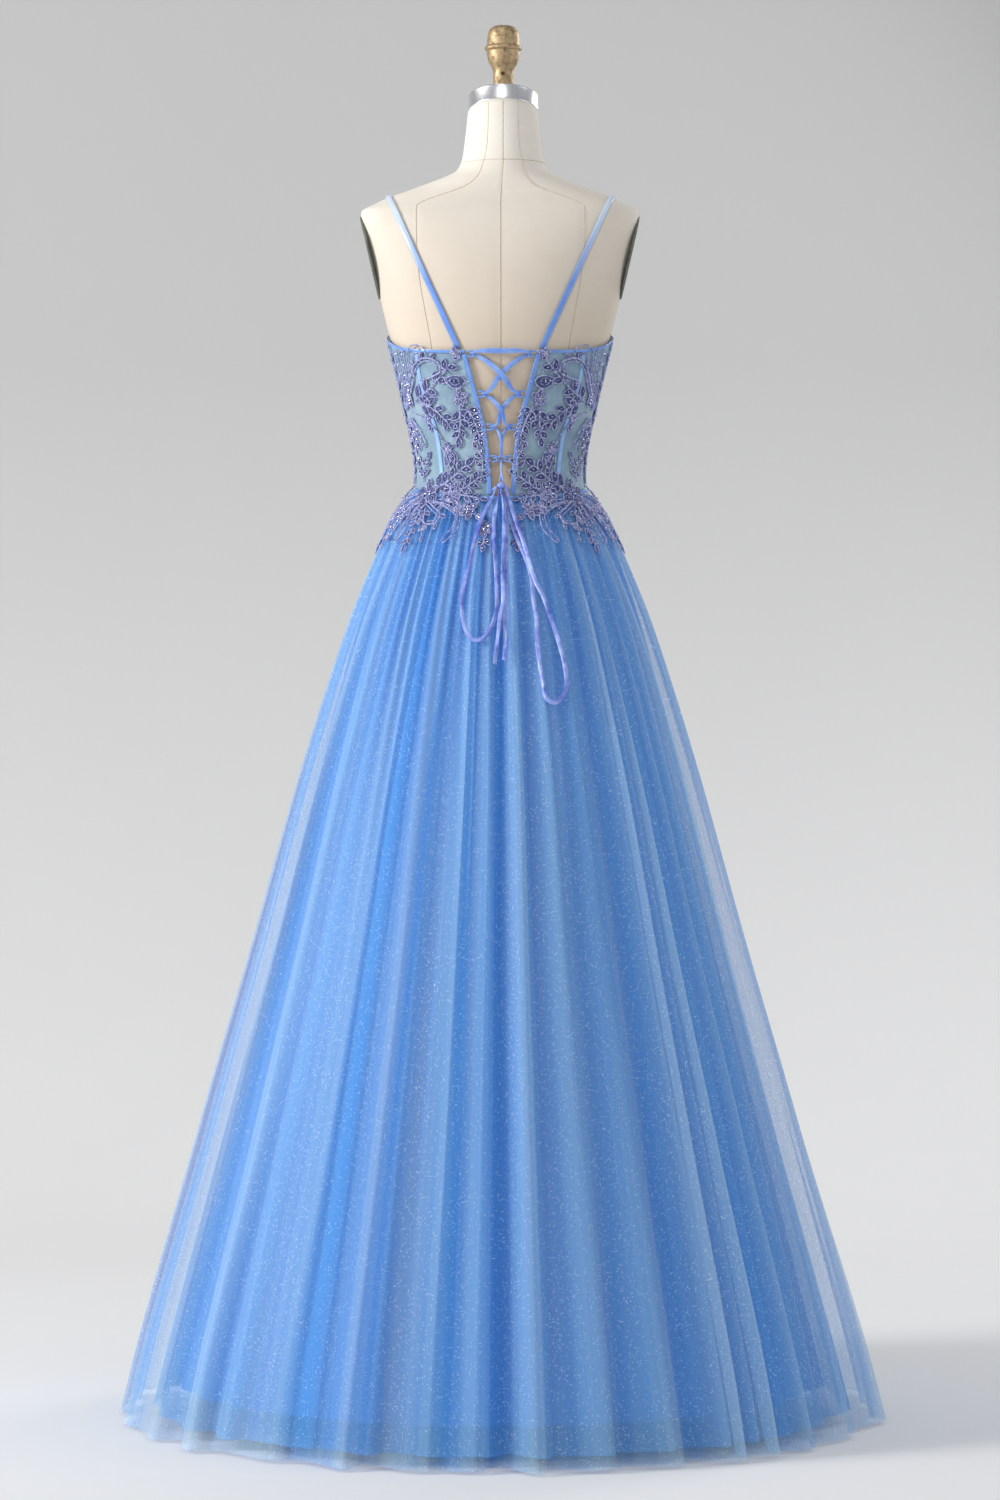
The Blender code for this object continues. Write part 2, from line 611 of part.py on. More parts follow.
def build_form_metal():
    loft("form_neck_band", [tilted_ring(r, along, 32) for r, along in BAND], ALLOY, 0.3, 1.0)
    angle = np.linspace(0, 2 * math.pi, 16, endpoint=False)
    middle = np.array((NECK_LEAN, NECK_MID_Y + KNOB_BACK, 0.0))
    rings = [
        middle + np.stack((r * np.cos(angle), r * np.sin(angle), z + 0 * angle), axis=-1)
        for r, z in KNOB
    ]
    top = tilted_ring(0.0, BAND[-1][1] + BAND[0][1], 1)[0]
    rings[0][:, 2] = top[2] + (rings[0][:, 1] - top[1]) * math.tan(NECK_TILT)
    knob = loft("form_knob", rings, BRASS, 0.5, 1.0)
    ring = np.linspace(0, 2 * math.pi, 12, endpoint=False)
    hole = [
        middle + np.stack((HOLE * np.cos(ring), depth + 0 * ring, HOLE_Z + HOLE * np.sin(ring)), axis=-1)
        for depth in (HOLE_DEPTH, 0.03)
    ]
    cut(knob, loft("cutter_hole", hole, BRASS))


def build_stand():
    angle = np.linspace(0, 2 * math.pi, 32, endpoint=False)
    rings = [np.stack((r * np.cos(angle), r * np.sin(angle), z + 0 * angle), axis=-1) for r, z in BASE]
    loft("form_base", rings, IRON, 0.5, 0.6)
    angle = angle[::2]
    rings = [
        np.stack((POLE_RADIUS * np.cos(angle), POLE_RADIUS * np.sin(angle), z + 0 * angle), axis=-1)
        for z in (0.0503, 0.8847)
    ]
    loft("form_pole", rings, ALLOY, 0.35, 1.0)


def fold_table():
    first = FOLDS[:1] + np.array(((360, 0),))
    last = FOLDS[-1:] - np.array(((360, 0),))
    return np.concatenate((last, FOLDS, first))


def fold_depth(fall, stages=3):
    """The share of the hem's fold depth at each fall, from the first stages of its table."""
    return sum(share * step_up(fall, low, high) for share, low, high in FOLD_DEPTH[:stages])


def fold(turn, fall):
    """Millimetres out or in of the outer skirt's folds, which open towards the hem."""
    degrees = (np.degrees(turn) + 177) % 360 - 177
    table = fold_table()
    at = np.clip(np.searchsorted(table[:, 0], degrees, side="right") - 1, 0, len(table) - 2)
    share = (degrees - table[at, 0]) / (table[at + 1, 0] - table[at, 0])
    wave = table[at, 1] + (table[at + 1, 1] - table[at, 1]) * (1 - np.cos(math.pi * share)) / 2
    fade = step_up(fall, 0.0, WAIST_FALL) * (1 - step_up(fall, 0.05, 0.2))
    return wave * fold_depth(fall) + GATHER * np.cos(2 * math.pi * share) * fade


def skirt(turn, fall, table, out, folds=0.0):
    """Points of a skirt layer: it starts on the body at the waist seam and opens to its table."""
    turn, fall = np.broadcast_arrays(np.asarray(turn, float), np.asarray(fall, float))
    top = waist_height(turn) - 2 * SEAM
    height = top - (top - HEM_Z) * fall
    at_waist = body(turn, top, out)
    below = np.maximum(fall, WAIST_FALL)
    across, deep = curve(below, table, 1), curve(below, table, 2)
    x, y = across * np.sin(turn), deep * np.cos(turn) - 0.004 * (1 - step_up(below, 0, 0.4))
    opened = np.stack((x, y, height), axis=-1)
    share = np.clip(fall / WAIST_FALL, 0, 1)[..., None]
    points = at_waist * (1 - share) + opened * share
    points[..., 2] = height
    points[..., 0] += folds / 1000 * np.sin(turn)
    points[..., 1] += folds / 1000 * np.cos(turn)
    return points


def gore_columns(start, end):
    """Turns of a gore's columns: each ridge with its two shoulders, each valley once."""
    table = fold_table()
    marks = [start]
    for row in range(len(table) - 1):
        here, there = table[row, 0], table[row + 1, 0]
        ridge_first = table[row, 1] > table[row + 1, 1]
        shoulder = here + (there - here) * (0.36 if ridge_first else 0.64)
        for mark in (shoulder, there):
            if start + 0.6 < mark < end - 0.6:
                marks.append(mark)
    marks.append(end)
    return np.radians(np.array(sorted(marks)))


def layer_gore(name, turns, rows, table, out, folded):
    """One gore of a skirt layer, with its seam gap taken off both sides."""
    fall = np.array(rows)[:, None]
    radius = curve(fall, table, 1)
    turn = np.broadcast_to(turns[None, :], (len(rows), len(turns))).copy()
    turn[:, :1] += SEAM / radius
    turn[:, -1:] -= SEAM / radius
    fall = np.broadcast_to(fall, turn.shape)
    folds = fold(turn, fall) if folded else 4 * fall * np.cos(9 * turn)
    outer = skirt(turn, fall, table, out, folds)
    inner = skirt(turn, fall, table, out - CLOTH, folds)
    inner[..., 0] -= CLOTH * np.sin(turn) * np.clip(fall / WAIST_FALL, 0, 1)
    inner[..., 1] -= CLOTH * np.cos(turn) * np.clip(fall / WAIST_FALL, 0, 1)
    return shell(name, outer, inner, TULLE)


def build_skirt():
    for count, (start, end) in enumerate(zip(GORE_SEAMS[:-1], GORE_SEAMS[1:]), 1):
        layer_gore(f"skirt_gore_{count}", gore_columns(start, end), SKIRT_ROWS, SKIRT, SKIRT_OUT, True)
    last = gore_columns(GORE_SEAMS[-1], GORE_SEAMS[0] + 360)
    layer_gore(f"skirt_gore_{len(GORE_SEAMS)}", last, SKIRT_ROWS, SKIRT, SKIRT_OUT, True)
    ends = UNDER_SEAMS[1:] + (UNDER_SEAMS[0] + 360,)
    for count, (start, end) in enumerate(zip(UNDER_SEAMS, ends), 1):
        turns = np.radians(np.linspace(start, end, 8))
        layer_gore(f"underskirt_gore_{count}", turns, UNDER_ROWS, UNDER, UNDER_OUT, False)


def hip_points(turn, fall, out):
    """Points over the gathers at the top of the skirt."""
    near = np.radians(np.linspace(-3, 3, 7))[:, None, None]
    crest = np.max(fold(turn[None] + near, fall[None] + 0 * near), axis=0)
    return skirt(turn, fall, SKIRT, SKIRT_OUT + out, crest + 1000 * out * np.clip(fall / WAIST_FALL, 0, 1))


def build_hip_applique():
    seams = (0, 90, 180, 270)
    words = ("back_left", "front_left", "front_right", "back_right")
    for word, start in zip(words, seams):
        turn = np.radians(np.linspace(start, start + 90, 19))[None, :].repeat(len(HIP_ROWS), axis=0)
        turn[:, 0] += SEAM / HIP_RADIUS
        turn[:, -1] -= SEAM / HIP_RADIUS
        drop = np.interp(np.degrees(wrap(turn)), HIP_EDGE[:, 0], HIP_EDGE[:, 1]) / 1000
        length = waist_height(turn) - HEM_Z
        fall = 0.0012 + (drop / length - 0.0012) * np.array(HIP_ROWS)[:, None]
        outer, inner = hip_points(turn, fall, HIP_OUT), hip_points(turn, fall, HIP_GAP)
        shell(f"hip_applique_{word}", outer, inner, LACE)


def back_point(x, height, out):
    """A point over the form's back, with the back's normal, by distance across and height."""
    turn = turn_of(x, height)
    normal = body_normal(turn, height)
    return body(turn, height) + normal * out, normal


def placket_edge(height):
    """Distance across of the opening's edge at a height."""
    share = (top_height(0.2) - height) / (top_height(0.2) - waist_height(0.0))
    return float(curve(np.array([share]), V_EDGE)[0])


def loop_points(level, side):
    """The U of one lacing loop, from the placket out to its tip and back."""
    height, reach, _ = LEVELS[level]
    edge = placket_edge(height - LOOP_HALF - LOOP_WIDE / 2) - 0.0012
    mid = reach + LOOP_WIDE / 2
    turn_in = LOOP_HALF * 0.45
    legs = (
        (edge, LOOP_HALF), (mid + turn_in, LOOP_HALF), (mid + 0.0003, LOOP_HALF - turn_in * 0.8), (mid, 0.0),
        (mid + 0.0003, turn_in * 0.8 - LOOP_HALF), (mid + turn_in, -LOOP_HALF), (edge, -LOOP_HALF),
    )
    found = [back_point(BACK_SHIFT + side * across, height + up, LOOP_OUT) for across, up in legs]
    return [point for point, _ in found], [normal for _, normal in found]


def threading(level, side, from_over):
    """Route of the ribbon round one loop's tip (across, height, out): in over it, back under it."""
    height, reach, _ = LEVELS[level]
    steps = (
        (-0.0030, 2.6, 5.9), (0.0008, 1.5, 6.1), (0.0036, 0.8, 5.3), (0.0043, 0.0, 4.2),
        (0.0036, -0.8, 3.1), (0.0008, -1.5, 2.3), (-0.0030, -2.6, 2.5),
    )
    route = [(side * (reach + across), height + up / 1000, out / 1000) for across, up, out in steps]
    return route if from_over else route[::-1]


def half_lacing(side):
    """One end of the ribbon from the top bar down to the knot, crossing at each level, with its widths."""
    route, widths = [], []
    for level, (height, _, width) in enumerate(LEVELS):
        route.extend(threading(level, side, True))
        narrow = min(width, LOOPED_WIDE)
        widths.extend([narrow] + [EYE_WIDE] * 5 + [narrow])
        last = level + 1 == len(LEVELS)
        middle = LAST_CROSS_Z if last else (height + LEVELS[level + 1][0]) / 2
        route.append((0.0, middle, OVER_OUT if side > 0 else UNDER_LACE_OUT))
        widths.append(width)
        side = -side
    across, up, out = KNOT_ENTRY
    route.append((side * across, KNOT_Z + up, out))
    widths.append(EYE_WIDE)
    return route, widths


def lacing_route():
    """The whole ribbon: up from the knot, across the top bar and down again, with its widths."""
    left, left_widths = half_lacing(1)
    right, right_widths = half_lacing(-1)
    bar = (0.0, LEVELS[0][0] + 0.0030, BAR_OUT)
    return np.array(left[::-1] + [bar] + right), np.array(left_widths[::-1] + [RIBBON] + right_widths)


def smooth_route(points, widths, spacing):
    """A denser route through the points, with no point nearer the next than the spacing allows."""
    lengths = np.concatenate(([0.0], np.cumsum(np.linalg.norm(np.diff(points, axis=0), axis=1))))
    marks = [0.0]
    for start, end in zip(lengths[:-1], lengths[1:]):
        count = max(1, int((end - start) / spacing))
        marks.extend(start + (end - start) * np.arange(1, count + 1) / count)
    marks = np.array(marks)
    columns = [curve(marks, np.stack((lengths, points[:, axis]), axis=1)) for axis in range(3)]
    return np.stack(columns, axis=1), np.interp(marks, lengths, widths)


def build_lacing():
    for side, word in ((1, "left"), (-1, "right")):
        for level in range(len(LEVELS)):
            points, normals = loop_points(level, side)
            strip(f"lacing_loop_{word}_{level + 1}", points, normals, LOOP_WIDE, SATIN)
        found = [back_point(BACK_SHIFT + side * across, height, out) for across, height, out in KNOT_LOOP]
        strip(f"lacing_loop_{word}_5", [p for p, _ in found], [n for _, n in found], KNOT_LOOP_WIDE, SATIN)
    route, widths = lacing_route()
    route, widths = smooth_route(route, widths, 0.016)
    found = [back_point(BACK_SHIFT + across, height, out) for across, height, out in route]
    strip("lacing_ribbon", [p for p, _ in found], [n for _, n in found], widths, SATIN)


def skirt_face(x, height, out):
    """A point over the skirt's back, with its normal, by distance across and height."""
    small = 1e-3

    def at(across, level):
        turn = 0.0
        for _ in range(6):
            top = waist_height(turn)
            fall = max((top - level) / (top - HEM_Z), 0.0)
            wide = float(skirt(math.pi / 2, fall, SKIRT, SKIRT_OUT)[0])
            turn = math.asin(across / wide)
        fall = max((waist_height(turn) - level) / (waist_height(turn) - HEM_Z), 0.0)
        crest = BOW_RIDGE * fold_depth(fall, 2) + BOW_CLEAR
        point = skirt(turn, fall, SKIRT, SKIRT_OUT, crest)
        return np.array((across, point[1], level))

    here = at(x, height)
    up = at(x, height + small) - at(x, height - small)
    across = at(x - small, height) - at(x + small, height)
    normal = unit(np.cross(up, across))
    normal = normal if normal[1] > 0 else -normal
    return here + normal * out, normal


def bow_strip(name, table, widths):
    """A ribbon of the bow, by its table of distances from the knot."""
    route, wide = smooth_route(table / 1000, widths, 0.014)
    points, normals = [], []
    for across, up, out in route:
        level = min(KNOT_Z + up, BOW_TOP_Z)
        point, normal = skirt_face(BACK_SHIFT + across, level, out)
        point[2] += KNOT_Z + up - level
        points.append(point)
        normals.append(normal)
    strip(name, points, normals, wide, SATIN)


def end_widths(count, both):
    widths = np.full(count, RIBBON)
    widths[:2] = (0.0022, 0.0034)
    if both:
        widths[-2:] = (0.0036, 0.0024)
    return widths


def build_bow():
    bow_strip("bow_loop_left", BOW_LEFT, end_widths(len(BOW_LEFT), True))
    bow_strip("bow_loop_right", BOW_RIGHT, end_widths(len(BOW_RIGHT), True))
    bow_strip("bow_tail_long", TAIL_LONG, end_widths(len(TAIL_LONG), False))
    bow_strip("bow_tail_short", TAIL_SHORT, end_widths(len(TAIL_SHORT), False))
    middle, _ = back_point(BACK_SHIFT, KNOT_Z, KNOT_OUT)
    angle = np.linspace(0, 2 * math.pi, 12, endpoint=False)
    rings = []
    for tip in (-0.92, -0.6, 0.0, 0.6, 0.92):
        size = math.sqrt(1 - tip * tip)
        x, z = KNOT_SIZE[0] * size * np.cos(angle), KNOT_SIZE[1] * size * np.sin(angle)
        rings.append(middle + np.stack((x, tip * KNOT_SIZE[2] + 0 * angle, z), axis=-1))
    loft("bow_knot", rings, SATIN, 0.45)


def build_straps():
    """Each strap runs on the form from the back binding over the shoulder to the front's peak."""
    for side, word in ((1, "left"), (-1, "right")):
        points, normals = [], []
        rise = np.sin(np.linspace(0, math.pi / 2, 14))[:, None]
        back = STRAP_BACK + (STRAP_TOP - STRAP_BACK) * rise
        front = (STRAP_FRONT + (STRAP_TOP - STRAP_FRONT) * rise)[-2::-1]
        for at, (across, height) in enumerate(np.concatenate((back, front))):
            is_back = at < len(back)
            turn = turn_of(side * across, height, is_back)
            normal = body_normal(turn, height)
            points.append(body(turn, height) + normal * STRAP_OUT)
            normals.append(normal)
        strip(f"strap_{word}", points, normals, STRAP_WIDE, SATIN, STRAP_THICK)


def main():
    clear_scene()
    build_form()
    build_form_metal()
    build_stand()
    build_bodice()
    build_trims()
    build_straps()
    build_skirt()
    build_hip_applique()
    build_lacing()
    build_bow()


main()
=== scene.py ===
"""A glitter tulle prom dress on its limbless dress form: cloth, lace, ribbons, form and studio.

Lengths are metres. +Z is up, the back is +Y and the wearer's left is +X. A turn is the angle round
the body from the centre back towards the wearer's left. A fall runs from the waist (0) to the hem (1).
"""
import logging
import math
from dataclasses import dataclass, field
from enum import Enum
from typing import Callable, Sequence

import bpy
import numpy as np
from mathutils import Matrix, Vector


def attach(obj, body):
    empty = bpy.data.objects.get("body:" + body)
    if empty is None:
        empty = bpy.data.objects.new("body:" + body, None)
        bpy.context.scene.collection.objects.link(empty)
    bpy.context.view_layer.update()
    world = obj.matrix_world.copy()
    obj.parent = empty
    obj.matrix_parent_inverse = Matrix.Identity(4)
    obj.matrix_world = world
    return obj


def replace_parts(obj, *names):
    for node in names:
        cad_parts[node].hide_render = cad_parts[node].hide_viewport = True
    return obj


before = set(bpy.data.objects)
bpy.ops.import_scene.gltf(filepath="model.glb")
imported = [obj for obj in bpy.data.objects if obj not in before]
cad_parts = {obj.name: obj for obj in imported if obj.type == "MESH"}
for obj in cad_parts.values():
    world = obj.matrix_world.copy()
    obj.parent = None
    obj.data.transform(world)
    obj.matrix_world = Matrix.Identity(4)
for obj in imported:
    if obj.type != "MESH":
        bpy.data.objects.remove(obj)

LOG = logging.getLogger("prom_dress")
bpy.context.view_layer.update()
BODY = "root"
Array = np.ndarray
Material = bpy.types.Material
Piece = bpy.types.Object
Link = bpy.types.NodeSocket
RGB = tuple[float, float, float]
SIDES = ((1, "left"), (-1, "right"))

# Sizes that the solids have: the hem's height, the gap at a seam, how far each layer lies outside the
# body, the fall at which the skirt has left the body, and how far the opening is off the centre
HEM_Z = 0.004
SEAM = 0.0002
BODICE_OUT, UNDER_OUT, SKIRT_OUT = 0.0032, 0.0034, 0.0052
TRIM_OUT = 0.0044
WAIST_FALL = 0.03
BACK_SHIFT = -0.0015
# Spread of the drift of a wave's phase
WANDER = 1.6


def sizes(*rows: Sequence[float]) -> Array:
    """A field that holds a table of sizes, one row for each section."""
    return field(default_factory=lambda: np.array(rows, float))


def circle(count: int) -> Array:
    """Angles evenly round a circle, from 0."""
    return np.linspace(0, math.tau, count, endpoint=False)


def steps_of(route: Array) -> Array:
    """Lengths of a route's steps."""
    return np.linalg.norm(np.diff(route, axis=0), axis=1)


def put(name: str, data: bpy.types.ID) -> Piece:
    """A new object of this data in the scene."""
    made = bpy.data.objects.new(name, data)
    bpy.context.scene.collection.objects.link(made)
    return made


def unit(vectors: Array) -> Array:
    """The vectors at length one."""
    return vectors / np.maximum(np.linalg.norm(vectors, axis=-1, keepdims=True), 1e-12)


def step_up(values: Array, low: float, high: float) -> Array:
    """A smooth step from 0 at low to 1 at high."""
    share = np.clip((np.asarray(values, float) - low) / (high - low), 0, 1)
    return share * share * (3 - 2 * share)


def signed_power(values: Array, power: Array) -> Array:
    """The values raised to a power, with their signs kept."""
    return np.sign(values) * np.abs(values) ** power


def wrap(turn: Array) -> Array:
    """The turn as its distance from the centre back, 0 to pi."""
    return np.abs((np.asarray(turn, float) + math.pi) % math.tau - math.pi)


def curve(values: Array, rows: Array, column: int = 1) -> Array:
    """A cubic through a table's points that never overshoots a level stretch.

    Args:
        values: Where to read it, in the units of the table's first column.
        rows: The table.
        column: The column to read.

    Returns:
        The column's value at each place.
    """
    xs, ys = rows[:, 0], rows[:, column]
    run = np.diff(xs)
    rise = np.diff(ys) / run
    slopes = np.concatenate(([rise[0]], (rise[1:] + rise[:-1]) / 2, [rise[-1]]))
    slopes[np.concatenate(([False], rise[1:] * rise[:-1] <= 0, [False]))] = 0.0
    values = np.clip(values, xs[0], xs[-1])
    at = np.clip(np.searchsorted(xs, values, side="right") - 1, 0, len(xs) - 2)
    share = (values - xs[at]) / run[at]
    square, cube = share**2, share**3
    start = (2 * cube - 3 * square + 1) * ys[at] + (cube - 2 * square + share) * run[at] * slopes[at]
    return start + (3 * square - 2 * cube) * ys[at + 1] + (cube - square) * run[at] * slopes[at + 1]


def normals_of(surface: Callable, turn: Array, height: Array, small: float) -> Array:
    """Outward normals of a surface, from its points a small step to each side.

    Args:
        surface: Gives the points at turns and heights.
        turn: Turns, or distances across, at which to find the normals.
        height: Heights of the same places.
        small: The step.

    Returns:
        The normals.
    """
    across = surface(turn + small, height) - surface(turn - small, height)
    up = surface(turn, height + small) - surface(turn, height - small)
    return unit(np.cross(up, across))


def ripples(turn: Array, drift: Array, low: int, high: int, count: int, seed: int) -> Array:
    """A periodic uneven wave round the body, about 1 high.

    Args:
        turn: Where to read it.
        drift: A second measure, such as the fall, along which the waves wander.
        low: Fewest waves round the body.
        high: Most waves round the body.
        count: How many waves are added up.
        seed: Seed of their phases.

    Returns:
        The wave's height at each place.
    """
    rng = np.random.default_rng(seed)
    total = np.zeros(np.broadcast(turn, drift).shape)
    for _ in range(count):
        waves, phase, wander = rng.integers(low, high + 1), rng.uniform(0, math.tau), rng.normal(0, WANDER)
        total += np.cos(waves * turn + phase + wander * drift)
    return total / math.sqrt(count / 2)


@dataclass(frozen=True)
class BodyShape:
    """The form's body by its sections: height, half width, back, front, roundness."""

    sections: Array = sizes(
        (0.885, 0.14, 0.098, -0.08, 2.1), (0.93, 0.149, 0.109, -0.088, 2.1),
        (0.98, 0.15, 0.112, -0.09, 2.1), (1.03, 0.142, 0.106, -0.09, 2.1), (1.07, 0.13, 0.097, -0.089, 2.1),
        (1.11, 0.1155, 0.087, -0.087, 2.1), (1.14, 0.1055, 0.0795, -0.0855, 2.1),
        (1.172, 0.1018, 0.0765, -0.085, 2.1), (1.205, 0.1048, 0.079, -0.087, 2.1),
        (1.256, 0.1158, 0.088, -0.098, 2.1), (1.294, 0.1248, 0.0945, -0.108, 2.1),
        (1.331, 0.1343, 0.0985, -0.113, 2.2), (1.36, 0.142, 0.0995, -0.111, 2.2),
        (1.391, 0.1495, 0.0985, -0.104, 2.2), (1.43, 0.159, 0.0945, -0.093, 2.3),
        (1.46, 0.1665, 0.087, -0.082, 2.4), (1.485, 0.173, 0.075, -0.07, 2.4),
        (1.499, 0.1735, 0.064, -0.062, 2.3), (1.509, 0.158, 0.056, -0.059, 2.2),
        (1.5175, 0.1405, 0.05, -0.056, 2.2), (1.527, 0.115, 0.047, -0.055, 2.1),
        (1.5356, 0.0925, 0.0455, -0.055, 2.1), (1.543, 0.074, 0.044, -0.056, 2.0),
        (1.55, 0.06, 0.042, -0.056, 2.0), (1.561, 0.0532, 0.038, -0.056, 2.0),
        (1.59, 0.048, 0.034, -0.055, 2.0), (1.632, 0.0434, 0.0315, -0.055, 2.0),
    )
    bust_side: float = 0.07
    bust_z: float = 1.322
    bust_out: float = 0.024
    bust_wide: float = 0.055
    bust_high: float = 0.052
    neck_lean: float = -0.004
    top_edge: Array = sizes(
        (0.0, 1.3185), (0.6, 1.32), (1.1, 1.327), (1.57, 1.3425), (1.95, 1.354), (2.35, 1.37),
        (2.58, 1.368), (2.82, 1.348), (3.02, 1.33), (3.1416, 1.3265),
    )
    waist: Array = sizes((0.0, 1.14), (0.8, 1.146), (1.57, 1.1545), (2.4, 1.152), (3.1416, 1.15))

    # Edge of the V opening: share of the way down, distance across
    v_edge: Array = sizes((0, 0.0443), (0.3, 0.0298), (0.52, 0.0196), (0.74, 0.0146), (1, 0.0112))

    def top_height(self, turn: Array) -> Array:
        """Height of the bodice's top edge."""
        return curve(wrap(turn), self.top_edge)

    def waist_height(self, turn: Array) -> Array:
        """Height of the waist seam."""
        return curve(wrap(turn), self.waist)

    def share_height(self, turn: Array, share: Array) -> Array:
        """Height at a share of the way down from the top edge (0) to the waist (1)."""
        top = self.top_height(turn)
        return top + (self.waist_height(turn) - top) * share

    def points(self, turn: Array, height: Array, out: Array = 0.0) -> Array:
        """Points of the body, moved out sideways.

        Args:
            turn: Turns round the body.
            height: Heights above the floor.
            out: Distance outside the body.

        Returns:
            The points, one for each turn and height.
        """
        turn, height = np.broadcast_arrays(np.asarray(turn, float), np.asarray(height, float))
        half, back, front, power = (curve(height, self.sections, column) for column in (1, 2, 3, 4))
        lean = self.neck_lean * step_up(height, 1.5, 1.57)
        x = (half + out) * signed_power(np.sin(turn), 2 / power)
        depth = (back - front) / 2 + out
        y = (back + front) / 2 + depth * signed_power(np.cos(turn), 2 / power)
        aside = (np.abs(x) - self.bust_side) / self.bust_wide
        mound = np.exp(-(aside**2) - ((height - self.bust_z) / self.bust_high) ** 2)
        y = y - self.bust_out * mound * step_up(-np.cos(turn), 0.0, 0.5)
        return np.stack((x + lean, y, height), axis=-1)

    def normals(self, turn: Array, height: Array) -> Array:
        """Outward normals of the body."""
        return normals_of(self.points, turn, height, 1e-4)

    def turn_of(self, x: Array, height: Array, back: bool = True, out: float = 0.0) -> Array:
        """The turn at which the body has this distance across."""
        half, power = curve(height, self.sections, 1) + out, curve(height, self.sections, 4)
        angle = np.arcsin(np.clip(np.abs(x) / half, 0, 1) ** (power / 2)) * np.sign(x)
        return angle if back else np.sign(x) * math.pi - angle

    def seam_turn(self, rows: Array, share: Array, back: bool = True, shift: float = 0.0,
                  side: int = 1) -> Array:
        """The turn of a bodice seam at each height share.

        Args:
            rows: The seam's table: height share, distance across.
            share: Height shares from the top edge (0) to the waist (1).
            back: Whether the seam lies on the back half.
            shift: Distance that the seam is moved across.
            side: 1 on the wearer's left, -1 on the right.

        Returns:
            The turns.
        """
        x = side * curve(share, rows) + shift
        turn = self.turn_of(x, 1.25 + 0 * share, back)
        for _ in range(4):
            turn = self.turn_of(x, self.share_height(turn, share), back, BODICE_OUT)
        return turn

    def back_point(self, x: Array, height: Array, out: Array) -> tuple[Array, Array]:
        """Points over the back with the back's normals, by distance across and height."""
        turn = self.turn_of(x, height)
        normal = self.normals(turn, height)
        return self.points(turn, height) + normal * np.asarray(out)[..., None], normal


